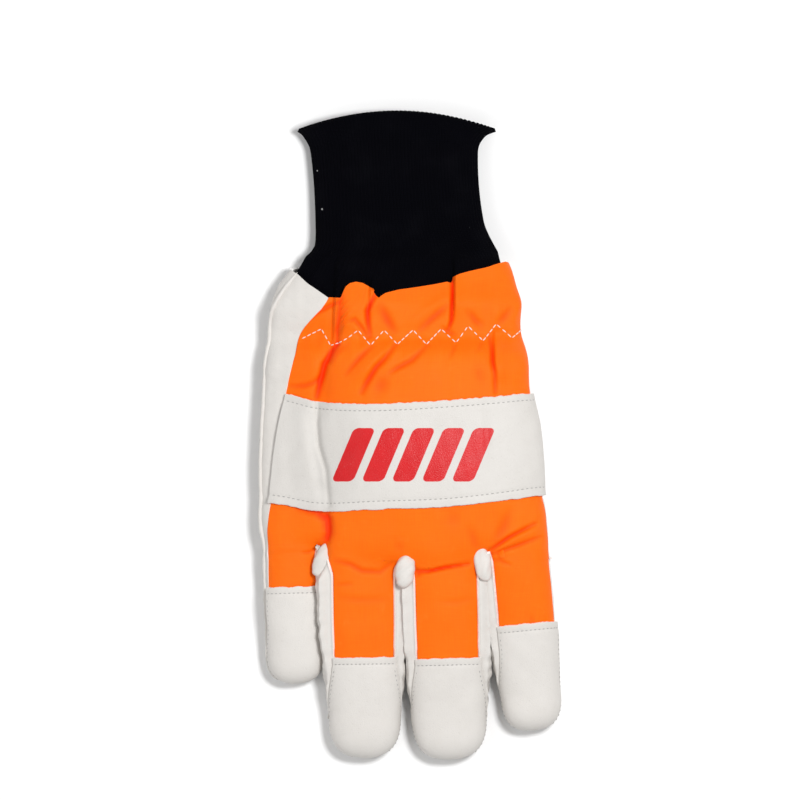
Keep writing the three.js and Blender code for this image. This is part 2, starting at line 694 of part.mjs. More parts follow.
// Fingertip caps lap over the cloth, then come level with the palm leather.
for (const [k, f] of fingers.entries()) {
  const stations = fingerStations(f, f.reach).filter((s) => s > f.capStart + 3);
  stations.unshift(f.capStart);
  const own = ([x, y, z]) => fingerDistance(f, x, y, z);
  addPiece(`fingertip_cap_${f.name}`, "leather", solidOf(stations.length - 1, 6, (i, j) => {
    const s = stations[i];
    const lapEnd = f.capStart + LAP + 1;
    const outer = mix(LAYER_GAP + LEATHER, 0, ease(lapEnd, lapEnd + CAP_SLOPE, s));
    return wallAt(backRay(k, s, backColumns[j], f.along[1] * s), outer, outer - LEATHER, own);
  }));
}

// Palm, with the fronts of the fingers; its wrist edge runs up at the little finger's side.
const EAR = [
  { across: -0.426, up: 0.992 },
  { across: -0.29, up: 0.897 },
];
const PALM_TOP = 1.0;
const palmTop = (x, onBack) =>
  (onBack ? readStraight(EAR, "across", x / BODY_WIDTH, "up") : PALM_TOP) * BODY_LENGTH;
const palmRows = [0, 0.05, 0.1, 0.16, 0.23, 0.33, 0.45, 0.57, 0.69, 0.81, 0.92, 1];
const palmColumns = fingers.map((f, k) => (
  k === 0 ? [0, 0.09, 0.18, 0.26, 0.34, 0.42, 0.5, 0.6, 0.8, 1] : [0, 0.18, 0.36, 0.64, 0.82, 1]
));
const palm = comb(
  palmRay, palmTop, palmRows, palmColumns,
  fingers.map((f) => f.reach), 0, -LEATHER,
);

// Strips between the fingers: up one finger's side, round the fork and down the next one's. At the
// fork they start a little lower, and cover a little less of the way from the back to the palm.
const FORK_DROP = 0.8;
const FORK_INSET = 0.05;
for (let k = 0; k < LAST; k++) {
  const [a, b] = [fingers[k], fingers[k + 1]];
  const legOf = (f) => fingerStations(f, STRIP_END * f.reach).filter((s) => s <= STRIP_END * f.reach);
  const [legA, legB] = [legOf(a), legOf(b)];
  const rows = [...legA.map((s) => [k, s, 1]).reverse(), ...legB.map((s) => [k + 1, s, 0])];
  const forkY = FORKS[k + 1].up * BODY_LENGTH;
  const columns = [0, 0.25, 0.5, 0.75, 1];
  const strip = solidOf(rows.length - 1, columns.length - 1, (i, j) => {
    const [n, s, edge] = rows[i];
    const f = fingers[n];
    const hand = edge ? 1 : -1;
    const x = forkX(k + 1) - hand * FORK_HALF_WIDTH;
    const y = s <= rootStation(f) ? forkLine(x) : f.along[1] * s;
    const top = backRay(n, s, edge, y);
    const bottom = palmRay(n, s, edge, y);
    const seams = fingerSeams(f, s);
    const side = fingerRay(f, s, hand * (seams.whole / 4), 0);
    const root = { from: [x, forkY + 3, bodyMiddle(x, forkY)], to: [0, -1, 0] };
    const middle = blendRays(root, side, ease(0, 11, s - rootStation(f)));
    const half = (seams.palm - seams.back) / 2;
    const atFork = 1 - ease(0, 7, s - rootStation(f));
    const inset = Math.min(0.45, SEAM_GAP / half) + FORK_INSET * atFork;
    const c = mix(inset / 2, 1 - inset / 2, columns[j]);
    const ray = c < 0.5 ? blendRays(top, middle, c * 2) : blendRays(middle, bottom, c * 2 - 1);
    ray.from[1] -= FORK_DROP * atFork;
    return wallAt(ray, 0, -LEATHER);
  });
  addPiece(`fourchette_${a.name}_${b.name}`, "leather", strip);
}

// Closed loft through rings of points, with flat fans at its ends.
function loft(rings) {
  const around = rings[0].length;
  const places = rings.flat();
  const triangles = [];
  for (let i = 0; i + 1 < rings.length; i++) {
    for (let j = 0; j < around; j++) {
      const [a, b] = [i * around + j, i * around + ((j + 1) % around)];
      triangles.push([a, b, b + around], [a, b + around, a + around]);
    }
  }
  for (const [ring, turned] of [[0, false], [rings.length - 1, true]]) {
    const centre = places.length;
    const sum = rings[ring].reduce((s, p) => s.map((v, i) => v + p[i]), [0, 0, 0]);
    places.push(sum.map((v) => v / around));
    for (let j = 0; j < around; j++) {
      const [a, b] = [ring * around + j, ring * around + ((j + 1) % around)];
      triangles.push(turned ? [a, b, centre] : [b, a, centre]);
    }
  }
  return { places, triangles };
}
function toManifold({ places, triangles }) {
  const mesh = new wasm.Mesh({
    numProp: 3,
    vertProperties: new Float32Array(places.flat()),
    triVerts: new Uint32Array(triangles.flat()),
  });
  const solid = new wasm.Manifold(mesh);
  return solid.volume() > 0 ? solid : new wasm.Manifold(new wasm.Mesh({
    numProp: 3,
    vertProperties: new Float32Array(places.flat()),
    triVerts: new Uint32Array(triangles.flatMap(([a, b, c]) => [a, c, b])),
  }));
}
function fromManifold(solid) {
  const mesh = solid.getMesh();
  const places = [];
  const triangles = [];
  for (let i = 0; i < mesh.vertProperties.length; i += mesh.numProp) {
    places.push([...mesh.vertProperties.slice(i, i + 3)]);
  }
  for (let i = 0; i < mesh.triVerts.length; i += 3) triangles.push([...mesh.triVerts.slice(i, i + 3)]);
  return { places, triangles };
}

// The thumb's two halves. Each column starts where the sleeve comes clear of the palm.
const thumbField = ([x, y, z]) => fingerDistance(thumb, x, y, z);
const thumbColumns = [0, 0.1, 0.22, 0.35, 0.5, 0.65, 0.78, 0.9, 1];
function thumbLength(s, half, across) {
  const flat = fingerFlat(thumb, Math.min(s, thumb.domeStart));
  const quarter = flat + (Math.PI / 2) * thumb.halfThick - SEAM_GAP / 2;
  const whole = wholeWay(flat, thumb.halfThick);
  const middle = half > 0 ? 0 : -whole / 2;
  return middle + half * mix(-quarter, quarter, across);
}
const thumbWall = (s, half, across) =>
  wallAt(fingerRay(thumb, s, thumbLength(s, half, across), half), 0, -LEATHER, thumbField);
function thumbStart(half, across) {
  const clear = (s) => thumbWall(s, half, across).every((p) => handDistance(p) > THUMB_CLEARANCE);
  let s = thumb.domeStart;
  while (s > 1 && clear(s - 1)) s -= 1;
  return s;
}
for (const [name, half] of [["thumb_back", -1], ["thumb_front", 1]]) {
  const starts = thumbColumns.map((c) => thumbStart(half, c));
  const rows = 7;
  addPiece(name, "leather", solidOf(rows + 4, thumbColumns.length - 1, (i, j) => {
    const s = i <= rows
      ? mix(starts[j], thumb.domeStart, i / rows)
      : thumb.domeStart + ((i - rows) / 4) * thumb.dome;
    return thumbWall(s, half, thumbColumns[j]);
  }));
}

// The palm's hole is the thumb's bore where it comes through.
const BORE_COLUMNS = 32;
const BORE_STATIONS = [0, 6, 12, 18, 24, 30, 34];
const bore = toManifold(loft(BORE_STATIONS.map((s) => {
  const whole = wholeWay(fingerFlat(thumb, s), thumb.halfThick);
  return steps(BORE_COLUMNS).slice(1).map((t) =>
    hit(fingerRay(thumb, s, mix(-whole / 2, whole / 2, t), 0), -LEATHER, thumbField));
})));
addPiece("palm_leather", "leather", fromManifold(toManifold(palm).subtract(bore)));

// Knitted cuff: tucked inside the body it follows the body's inner face, above it its own sections.
const CUFF_IN_BODY = CLOTH + 1.7;
const CUFF_INNER_COLUMNS = 36;
const cuffStations = [-CUFF_TUCK, -3, 4, 10, 24, 54, 68.5];
function cuffPoint(y, t, inset) {
  const rise = (y - BODY_LENGTH) / CUFF_LENGTH;
  const own = ease(0.05, 0.13, rise);
  const turn = (flat, radius) => mix(-0.5, 0.5, t) * wholeWay(flat, radius);
  const ray = bodyRay(y, turn(bodyFlat(y), bodyRadius));
  const inside = hit(ray, -CUFF_IN_BODY - inset, handDistance);
  inside[2] = Math.max(inside[2], LEATHER + SEAM_GAP + inset);
  const left = read(CUFF, "rise", rise, "left") * CUFF_WIDTH;
  const right = read(CUFF, "rise", rise, "right") * CUFF_WIDTH;
  const radius = (read(CUFF, "rise", rise, "thick") * CUFF_THICKNESS) / 2;
  const flat = (right - left) / 2 - radius;
  const [offset, angle] = around(turn(flat, radius), flat, radius);
  const x = offset + Math.sin(angle) * (radius - inset);
  const sag = read(CUFF, "rise", rise, "sag") * CUFF_LENGTH * (x / (flat + radius)) ** 2;
  const free = [(left + right) / 2 + x, y - sag, radius + Math.cos(angle) * (radius - inset)];
  return inside.map((v, i) => mix(v, free[i], own));
}
const cuffRings = (columns, stations, inset) => stations.map((rise) =>
  steps(columns).slice(1).map((t, j) => cuffPoint(BODY_LENGTH + rise, t, inset(j))));
const cuffOuter = loft(cuffRings(2 * RIBS, cuffStations, (j) => (j % 2) * RIB_HEIGHT));
const innerStations = [cuffStations[0] - 2, ...cuffStations.slice(1, -1), cuffStations.at(-1) + 3];
const cuffInner = loft(cuffRings(CUFF_INNER_COLUMNS, innerStations, () => RIB_HEIGHT + KNIT));
addPiece("knit_cuff", "knit", fromManifold(toManifold(cuffOuter).subtract(toManifold(cuffInner))));

// Origin under the middle of the whole glove.
const box = new THREE.Box3().setFromObject(group);
const middle = box.getCenter(new THREE.Vector3());
for (const mesh of group.children) mesh.geometry.translate(-middle.x, -middle.y, -box.min.z);

export default group;
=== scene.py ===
import math

import bpy
import mathutils
import numpy as np
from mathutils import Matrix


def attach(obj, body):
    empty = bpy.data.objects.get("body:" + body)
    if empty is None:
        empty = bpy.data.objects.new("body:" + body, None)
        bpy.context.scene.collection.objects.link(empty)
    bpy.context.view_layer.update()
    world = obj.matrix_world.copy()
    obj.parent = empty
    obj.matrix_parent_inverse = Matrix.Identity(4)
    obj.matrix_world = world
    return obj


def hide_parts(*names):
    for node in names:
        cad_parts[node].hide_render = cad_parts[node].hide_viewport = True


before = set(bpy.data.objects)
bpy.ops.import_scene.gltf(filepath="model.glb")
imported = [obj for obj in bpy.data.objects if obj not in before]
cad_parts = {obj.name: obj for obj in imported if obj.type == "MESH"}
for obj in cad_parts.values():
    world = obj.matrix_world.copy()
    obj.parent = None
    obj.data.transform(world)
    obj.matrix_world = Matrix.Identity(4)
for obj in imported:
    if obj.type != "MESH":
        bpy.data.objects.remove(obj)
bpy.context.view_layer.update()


# Sizes in millimetres.

BODY_WIDTH, BODY_LENGTH, BODY_THICKNESS = 123, 130, 24
FINGER_LENGTH, FINGER_WIDTH, FINGER_THICKNESS = 86, 35, 19
THUMB_LENGTH, THUMB_WIDTH, THUMB_THICKNESS = 86, 31, 15
CUFF_LENGTH, CUFF_WIDTH, CUFF_THICKNESS, CUFF_TUCK, CUFF_DEPTH = 68, 73, 17, 12, 1.7
LEATHER, CLOTH, KNIT, RIB_HEIGHT = 1.4, 1.8, 1.6, 0.45
SEAM_GAP, LAYER_GAP, THUMB_CLEARANCE = 0.12, 0.4, 0.6
LAP, SETTLE = 6, 0.8
FORK_ROUND, BLEND = 10, 5
BODY_SQUARENESS, FINGER_SQUARENESS = 2.8, 2.5
LIFT = THUMB_THICKNESS + SETTLE + THUMB_CLEARANCE
# The CAD's origin, in the frame that the tables below use.
ORIGIN = np.array([0.027, 56.254, 0.0])
# The photograph's width in pixels, a pixel's size, and the pixel that lies at 0 across and PIXEL_RISE up.
PHOTO, PIXEL, PIXEL_X, PIXEL_Y, PIXEL_RISE = 800, 0.44, 410, 434, 56.8


def from_pixel(px, py):
    return (px - PIXEL_X) * PIXEL, (PIXEL_Y - py) * PIXEL + PIXEL_RISE


# The camera looks straight down on the photograph's middle, with its top towards the cuff.
LOOK_X, LOOK_Y = (np.array(from_pixel(PHOTO / 2, PHOTO / 2)) - ORIGIN[:2]) / 1000
bpy.ops.object.camera_add(location=(LOOK_X, LOOK_Y, 2.0), rotation=(0, 0, 0))
camera = bpy.context.object
camera.data.type = "ORTHO"
camera.data.ortho_scale = PHOTO * PIXEL / 1000
camera.data.clip_start, camera.data.clip_end = 0.01, 20
bpy.context.scene.camera = camera


def columns(names, rows):
    return dict(zip(names.split(), np.array(rows, float).T))


BODY = columns("station left right seam thick lift", [
    [-0.1, -0.52, 0.49, -0.505, 0.78, 0.72],
    [0.037, -0.522, 0.488, -0.511, 0.85, 0.82],
    [0.114, -0.527, 0.47, -0.512, 0.91, 0.9],
    [0.206, -0.534, 0.472, -0.511, 0.96, 0.97],
    [0.333, -0.536, 0.468, -0.501, 1, 1],
    [0.468, -0.531, 0.4545, -0.48, 1, 1],
    [0.583, -0.524, 0.429, -0.448, 1, 1],
    [0.702, -0.514, 0.42, -0.412, 1, 0.86],
    [0.783, -0.507, 0.397, -0.388, 1, 0.62],
    [0.883, -0.4935, 0.395, -0.3, 1, 0.36],
    [0.937, -0.4715, 0.38, -0.28, 1, 0.25],
    [0.992, -0.43, 0.364, -0.26, 1, 0.16],
    [1.03, -0.405, 0.346, -0.25, 0.98, 0.12],
])
ACROSS = columns("across share", [
    [-0.56, 0], [-0.44, 0.05], [-0.32, 0.34], [-0.18, 0.8], [0, 1], [0.34, 1], [0.48, 0.86], [0.6, 0.8],
])
# Name, place across, reach, width, width at the tip, thickness, start of the cap, lean in degrees, lift.
FINGERS = [
    ("little", -0.418, 0.61, 0.705, 0.69, 0.92, 0.2, 1.5, 0.2),
    ("ring", -0.168, 0.99, 0.94, 0.86, 1, 0.49, 0.7, 0.74),
    ("middle", 0.127, 1, 0.96, 0.9, 1, 0.49, 1.4, 0.92),
    ("index", 0.387, 0.85, 0.79, 0.72, 1, 0.37, 5.4, 0.86),
]
FORKS = columns("across up", [[-0.56, 0.06], [-0.314, 0.052], [-0.02, 0], [0.27, 0.03], [0.52, 0.05]])
FORK_HALF_WIDTH, FORK_SPAN, FORK_LEAN, FORK_LAP = 1.1, 9, 0.8, 1.5
BACK_SEAM, LITTLE_SEAM, INDEX_SEAM, PALM_SEAM = 44, 56, 72, 126
SEAMS_TURN, SEAMS_MEET, DOME_SHARE = 0.5, 0.88, 0.52
# The strips between the fingers: where they end, how far they lap onto the back and stand over the cloth
# and the caps, how much they fill between the fingers and at the fork, and where the fork's turn ends.
STRIP_END, STRIP_LAP, STRIP_LAP_COLUMNS, STRIP_LAP_OUT, STRIP_CROWD = 0.8, 0.06, 5, 0.45, 1.3
STRIP_OVER_CLOTH, STRIP_OVER_CAP, STRIP_FILL, STRIP_INSET = 0.2, 0.35, 5.2, 0.04
FORK_FILL, FORK_UP, TURN_END, FORK_END = 1.7, 3, 11, 7
# The gathered wrist edge of the cloth, traced in pixels.
RUFFLE = from_pixel(*np.array([
    (322, 297), (334.3, 297.5), (340.8, 297.9), (342.2, 293.2), (345.1, 286.7), (349.8, 283.1),
    (355.9, 281.7), (362.4, 282.8), (368.2, 286), (372.5, 290.3), (376.1, 295.4), (378.9, 297.9),
    (381.1, 295.7), (385.8, 292.8), (398.4, 289.6), (416.4, 287.1), (434.4, 284.2), (447, 281.7),
    (451.7, 283.1), (452.8, 277), (459.6, 273.8), (470.4, 270.9), (488.4, 266.9), (504.6, 261.5),
    (508.2, 262.5), (520, 268),
]).T)
# Pleats: place across, lean, start and end up the hand, height, run.
PLEATS = [
    (-0.262, -0.05, 0.66, 1.05, 0.2, 0.9), (-0.14, -0.06, 0.83, 0.97, 0.1, 0.5),
    (0.158, 0, 0.8, 1.05, 0.15, 0.75), (0.3, 0, 0.6, 0.8, 0.08, 0.5),
]
CREASE = columns("up across depth", [
    [-0.1, -0.314, 0], [0.06, -0.314, 0.04], [0.18, -0.302, 0.07], [0.26, -0.317, 0.1], [0.46, -0.341, 0.13],
    [0.55, -0.318, 0.15], [0.7, -0.3, 0.15], [0.76, -0.272, 0.17], [0.9, -0.256, 0.16], [1.05, -0.25, 0.12],
])
CREASE_WIDTH, CREASE_SHARE = 3.4, 0.5
ELASTIC_UP, PINCH, PINCH_HALF = 0.765, 2.2, 0.035
PUFF_ABOVE, PUFF_BELOW, PUFF_HALF, PUFF_ABOVE_UP, PUFF_BELOW_DOWN = 1.6, 1.4, 0.06, 0.11, 0.1
STRAP = columns("across wrist finger", [
    [-0.54, 0.585, 0.207], [-0.452, 0.574, 0.196], [-0.325, 0.546, 0.175], [-0.125, 0.539, 0.181],
    [0.154, 0.553, 0.192], [0.48, 0.579, 0.23],
])
EAR = columns("across up", [[-0.426, 0.992], [-0.29, 0.897]])
CUFF = columns("rise left right thick sag", [
    [0.03, -0.655, 0.57, 1.15, 0], [0.1, -0.585, 0.53, 1.05, 0], [0.3, -0.57, 0.445, 0.95, 0],
    [0.78, -0.6, 0.41, 0.85, 0.03], [0.93, -0.645, 0.455, 0.9, 0.08], [1.01, -0.68, 0.52, 1.02, 0.13],
])
CUFF_FREE_START, CUFF_FREE_END = 0.05, 0.13
THUMB = columns("along across high wide", [
    [0, 0.27, 1.35, 0.95], [0.15, 0.262, 1.02, 1.02], [0.32, 0.25, 0.66, 1.04], [0.5, 0.232, 0.5, 1],
    [0.75, 0.2, 0.45, 0.95], [1, 0.165, 0.45, 0.88],
])
THUMB_ROOT_UP, BORE_LENGTH = 0.78, 40
STRAP_STITCH_TOP, STRAP_STITCH_BOTTOM, CAP_STITCH, STITCH_DENT_HALF = 3.0, 3.7, 2.7, 0.8

# Finer folds of the cloth, traced as lines of pixels: a fold's points, its depth and its half width in
# millimetres. Negative depths stand up.
FOLDS = [
    ([(341, 296), (338.8, 316.6), (337.2, 330.6), (337.2, 344)], 1.5, 1.3),
    ([(337.2, 344), (331, 353), (324.8, 364.2), (321.2, 378.2), (317, 397)], 2.6, 1.4),
    ([(305.8, 320.8), (317, 312.4), (331, 305.4), (338.8, 302)], 1.3, 1.1),
    ([(376.4, 292.8), (371.6, 301.2), (367.4, 311), (368, 322.2), (370.2, 336)], 2.0, 1.3),
    ([(348.4, 320.8), (354.8, 319.4), (361.8, 328.4), (367.4, 337.6)], 1.1, 1.0),
    ([(344.6, 303), (344.8, 312), (346, 325)], -0.7, 1.3),
    ([(353, 326), (360, 333), (364, 340)], -0.5, 1.0),
    ([(381.4, 307), (387, 319.4), (394, 330.6)], 1.3, 2.2),
    ([(445.8, 297), (426.2, 309.6), (412.2, 322.2)], -0.7, 2.0),
    ([(446, 306), (436, 315), (420.6, 329)], 1.2, 1.9),
    ([(452, 276), (452.5, 291.4), (452, 308.2), (451.4, 320.8), (448.6, 329)], 2.2, 0.9),
    ([(443, 327.8), (448, 332), (455, 335)], 1.0, 0.9),
    ([(469, 312), (475, 320), (481, 325)], 1.0, 1.7),
    ([(510, 309), (504, 317), (499, 323)], 0.9, 1.7),
    ([(500, 305), (496, 319)], -0.4, 1.5),
    ([(395.4, 344.6), (384.2, 358.6), (375.8, 367), (367.4, 381), (361.8, 392)], 1.8, 1.5),
    ([(387, 347.4), (367.4, 367), (350, 383)], -0.9, 2.2),
    ([(371.6, 346), (359, 358.6), (346, 374)], 1.2, 1.4),
    ([(427.6, 344.6), (412.2, 360), (398.2, 367.5), (391, 372)], 1.2, 1.4),
    ([(402, 345), (392, 356), (386, 366)], -0.5, 1.8),
    ([(384, 378), (378, 392)], 0.9, 3.2),
    ([(345, 345), (338, 352), (331, 362)], 0.7, 1.2),
    ([(456, 343), (453, 350), (450, 357)], 0.6, 1.1),
    ([(483, 341), (478, 350)], 0.5, 1.1),
    ([(490, 336), (492, 350.2), (492.6, 361.4), (494.8, 372.6), (495.4, 392)], 1.7, 1.1),
    ([(478, 368), (482, 382)], 0.6, 2.6),
    ([(500, 360), (502, 384)], -0.4, 2.2),
    ([(290, 386.6), (304, 386), (313, 383), (321.2, 377)], 1.1, 1.3),
    ([(308, 345), (312, 360), (314, 372)], -0.4, 2.4),
    ([(299, 507.5), (317, 512), (327.5, 520), (329, 533), (322.5, 545)], 1.8, 2.2),
    ([(327.5, 512), (329, 526), (328, 540)], 1.3, 1.0),
    ([(302, 552.5), (309, 552.5), (315, 550)], 0.7, 0.8),
    ([(335, 561.5), (350, 564.5), (362, 571), (380, 572), (390, 565)], 1.1, 1.2),
    ([(336, 585.5), (343, 584.5), (352, 584)], 0.6, 0.9),
    ([(338, 597.5), (362, 600), (389, 599)], 0.45, 1.8),
    ([(415, 571), (428, 571.5), (446, 567.5), (469, 564)], 2.0, 0.9),
    ([(416, 575), (421, 574)], 0.9, 1.1),
    ([(440, 602), (456, 602), (473, 599)], 0.35, 1.5),
    ([(489, 551.5), (509, 537.5), (535, 524)], 1.7, 1.0),
    ([(491.5, 554.5), (515, 546.5), (540, 537)], 1.2, 1.0),
    ([(493, 560), (501, 561), (510, 565)], 0.8, 0.8),
    ([(500, 548), (520, 536), (538, 530)], -0.5, 1.6),
    ([(509, 513), (503, 528), (496, 540)], 0.9, 2.6),
    ([(470, 530), (474, 540), (477, 549)], 0.7, 2.4),
    ([(455, 512), (452, 526)], 0.5, 3.2),
    ([(531, 616), (532, 624)], 0.6, 1.3),
    ([(398, 541), (401, 552)], 0.5, 2.2),
]
STRAP_FOLDS = [
    ([(318, 400), (317, 424), (319, 446), (326, 470), (329, 505)], 1.5, 1.1),
    ([(303, 412), (304, 440), (306, 480)], -0.5, 4.0),
    ([(484, 400), (487, 420), (489, 470)], 0.45, 2.0),
    ([(282, 420), (281, 460), (278, 500)], -0.3, 3.0),
    ([(300, 490), (318, 484), (330, 492)], 0.4, 2.4),
]

# The glove's form.


def mix(a, b, t):
    return a + (b - a) * t


def ease(a, b, v):
    t = np.clip((v - a) / (b - a), 0, 1)
    return t * t * (3 - 2 * t)


def bell(v, half):
    return np.exp(-((v / half) ** 2))


def read(table, key, at, column):
    """A column of a table at a place, on a smooth curve through its rows."""
    xs, ys = table[key], table[column]
    slopes = np.empty(len(xs))
    slopes[1:-1] = (ys[2:] - ys[:-2]) / (xs[2:] - xs[:-2])
    slopes[0] = (ys[1] - ys[0]) / (xs[1] - xs[0])
    slopes[-1] = (ys[-1] - ys[-2]) / (xs[-1] - xs[-2])
    at = np.clip(at, xs[0], xs[-1])
    i = np.clip(np.searchsorted(xs, at) - 1, 0, len(xs) - 2)
    h = xs[i + 1] - xs[i]
    t = (at - xs[i]) / h
    return (
        (2 * t**3 - 3 * t**2 + 1) * ys[i] + (t**3 - 2 * t**2 + t) * h * slopes[i]
        + (3 * t**2 - 2 * t**3) * ys[i + 1] + (t**3 - t**2) * h * slopes[i + 1]
    )


def section_distance(w, h, past, a, b, r, squareness):
    parts = [(np.abs(w), a), (np.abs(h), b), (np.maximum(past, 0), r)]
    ratios = [v / size + 1e-9 for v, size in parts]
    powers = [ratio ** (squareness - 1) for ratio in ratios]
    total = sum(power * ratio for power, ratio in zip(powers, ratios))
    radius = np.maximum(total, 1e-9) ** (1 / squareness)
    steep = np.sqrt(sum((power / size) ** 2 for power, (v, size) in zip(powers, parts)))
    distance = (radius - 1) * radius ** (squareness - 1) / np.maximum(steep, 1e-12)
    return np.where(total < 1e-7, -np.minimum(a, b), np.maximum(distance, -np.minimum(a, b)))


def soft_min(a, b, k):
    h = np.maximum(0, k - np.abs(a - b)) / k
    return np.minimum(a, b) - h * h * k / 4


def body_left(y):
    return read(BODY, "station", y / BODY_LENGTH, "left") * BODY_WIDTH


def body_right(y):
    return read(BODY, "station", y / BODY_LENGTH, "right") * BODY_WIDTH


def body_half(y):
    return read(BODY, "station", y / BODY_LENGTH, "thick") * BODY_THICKNESS / 2


def fork_line(x):
    return read(FORKS, "across", x / BODY_WIDTH, "up") * BODY_LENGTH


def body_middle(x, y):
    lift = read(BODY, "station", y / BODY_LENGTH, "lift") * read(ACROSS, "across", x / BODY_WIDTH, "share")
    return body_half(y) - SETTLE + LIFT * lift


def body_distance(x, y, z):
    left, right = body_left(y), body_right(y)
    past = fork_line(x) + 0.9 * FORK_ROUND - y
    return section_distance(
        x - (left + right) / 2, z - body_middle(x, y), past, (right - left) / 2, body_half(y),
        FORK_ROUND, BODY_SQUARENESS,
    )


class Finger:
    """A finger, with its own axis and half width at each station."""

    def __init__(self, name, across, reach, wide, tip, thick, cap, lean, lift):
        lean = math.radians(lean)
        self.name, self.wide, self.tip, self.lift = name, wide, tip, lift
        self.x = across * BODY_WIDTH
        self.along = (math.sin(lean), -math.cos(lean))
        self.side = (math.cos(lean), math.sin(lean))
        self.half_thick = thick * FINGER_THICKNESS / 2
        self.reach = reach * FINGER_LENGTH / math.cos(lean)
        self.dome = tip * FINGER_WIDTH * DOME_SHARE
        self.dome_start = self.reach - self.dome
        self.cap_start = cap * self.reach
        self.root_back = FINGER_WIDTH / 2
        self.root = -float(fork_line(self.x))

    def station(self, x, y):
        return (x - self.x) * self.along[0] + y * self.along[1]

    def axis(self, s):
        fall = ease(-0.25 * self.reach, 0.92 * self.reach, s)
        height = self.half_thick - SETTLE + LIFT * self.lift * (1 - fall)
        return self.x + self.along[0] * s, self.along[1] * s, height

    def half_width(self, s):
        return FINGER_WIDTH / 2 * mix(self.wide, self.tip, ease(0.25 * self.reach, self.dome_start, s))


class Thumb:
    """The thumb, which is one more finger on a bent axis."""

    along, side = (0.0, -1.0), (1.0, 0.0)
    half_thick, reach, root_back = THUMB_THICKNESS / 2, THUMB_LENGTH, 0
    dome = THUMB_WIDTH / 2 * 0.95
    dome_start = THUMB_LENGTH - dome

    def station(self, x, y):
        return THUMB_ROOT_UP * BODY_LENGTH - y

    def axis(self, s):
        across, high = (read(THUMB, "along", s / THUMB_LENGTH, column) for column in ("across", "high"))
        return across * BODY_WIDTH, THUMB_ROOT_UP * BODY_LENGTH - s, high * THUMB_THICKNESS - SETTLE

    def half_width(self, s):
        return read(THUMB, "along", s / THUMB_LENGTH, "wide") * THUMB_WIDTH / 2


FINGER_LIST = [Finger(*row) for row in FINGERS]
THUMB_TUBE = Thumb()
LAST = len(FINGER_LIST) - 1


def finger_distance(f, x, y, z):
    s = f.station(x, y)
    cx, cy, cz = f.axis(s)
    w = (x - cx) * f.side[0] + (y - cy) * f.side[1]
    past = np.maximum(s - f.dome_start, -s - f.root_back)
    return section_distance(w, z - cz, past, f.half_width(s), f.half_thick, f.dome, FINGER_SQUARENESS)


def line_distance(x, y, points):
    """Distance to a line of pixels, and how far along it, from 0 to 1, the nearest place is."""
    line = np.array([from_pixel(px, py) for px, py in points])
    best, where = np.full(x.shape, 1e9), np.zeros(x.shape)
    for i, (a, b) in enumerate(zip(line[:-1], line[1:])):
        d = b - a
        t = np.clip(((x - a[0]) * d[0] + (y - a[1]) * d[1]) / (d @ d), 0, 1)
        far = np.hypot(x - a[0] - d[0] * t, y - a[1] - d[1] * t)
        where = np.where(far < best, (i + t) / (len(line) - 1), where)
        best = np.minimum(best, far)
    return best, where


def folds_depth(x, y, folds):
    depth = np.zeros(x.shape)
    for points, deep, half in folds:
        far, where = line_distance(x, y, points)
        fade = np.sin(np.pi * np.clip(where * 0.8 + 0.1, 0, 1)) ** 0.6
        depth += deep * fade * bell(far, half)
    return depth


def ripples(x, y, z, size, seed, count=9):
    """Smooth wandering values from about -1 to 1, of a size in millimetres."""
    rng = np.random.default_rng(seed)
    total = np.zeros(np.broadcast(x, y, z).shape)
    for _ in range(count):
        way = rng.normal(size=3)
        way *= 2 * np.pi / (size * rng.uniform(0.6, 1.6)) / np.linalg.norm(way)
        total += np.sin(x * way[0] + y * way[1] + z * way[2] + rng.uniform(0, 2 * np.pi))
    return total / math.sqrt(count)


def back_relief(x, y):
    """Pleats, puffs and the long crease, which only the back has."""
    u = y / BODY_LENGTH
    beside = x - read(CREASE, "up", u, "across") * BODY_WIDTH
    rise = -CREASE_SHARE * read(CREASE, "up", u, "depth") * BODY_THICKNESS * bell(beside, CREASE_WIDTH)
    rise -= PINCH * bell(u - ELASTIC_UP, PINCH_HALF)
    rise += PUFF_ABOVE * bell(u - ELASTIC_UP - PUFF_ABOVE_UP, PUFF_HALF)
    rise += PUFF_BELOW * bell(u - ELASTIC_UP + PUFF_BELOW_DOWN, PUFF_HALF)
    for across, lean, start, end, high, run in PLEATS:
        beyond = x - (across + lean * (end - u)) * BODY_WIDTH
        length = ease(start, mix(start, end, 0.4), u) * (1 - ease(mix(start, end, 0.9), end, u))
        step = ease(-1, 1, beyond) * np.exp(-np.maximum(0, beyond) / (run * BODY_THICKNESS))
        rise += high * BODY_THICKNESS * length * step
    return rise * ease(-0.58, -0.5, x / BODY_WIDTH)


def hand_distance(p, extra=None):
    x, y, z = p
    whole = soft_min(
        body_distance(x, y, z), np.minimum.reduce([finger_distance(f, x, y, z) for f in FINGER_LIST]), BLEND,
    )
    on_back = ease(0, 0.35 * BODY_THICKNESS, z - body_middle(x, y))
    relief = back_relief(x, y) * (y > -FORK_ROUND)
    if extra is not None:
        relief = relief + extra(x, y)
    return whole - relief * on_back


def own_distance(f):
    return lambda p: finger_distance(f, *p)


# Rays, and where they meet the form.


def unit(v):
    return v / np.sqrt((v * v).sum(axis=0))


def upright_rays(x, y):
    return np.array([x, y + 0 * x, body_middle(x, y)]), np.array([0 * x, 0 * x, 0 * x + 1])


def blend_rays(a, b, t):
    return mix(a[0], b[0], t), unit(mix(a[1], b[1], t))


STRIDE, LONGEST_RAY = 0.8, 60


def meet(ray, level, distance, turns=26):
    """Points of rays that start inside, where the distance reaches a level."""
    start, way = ray
    t = np.zeros(start.shape[1:])
    for _ in range(turns):
        t = np.clip(t + STRIDE * (level - distance(start + way * t)), 0, LONGEST_RAY)
    return start + way * t


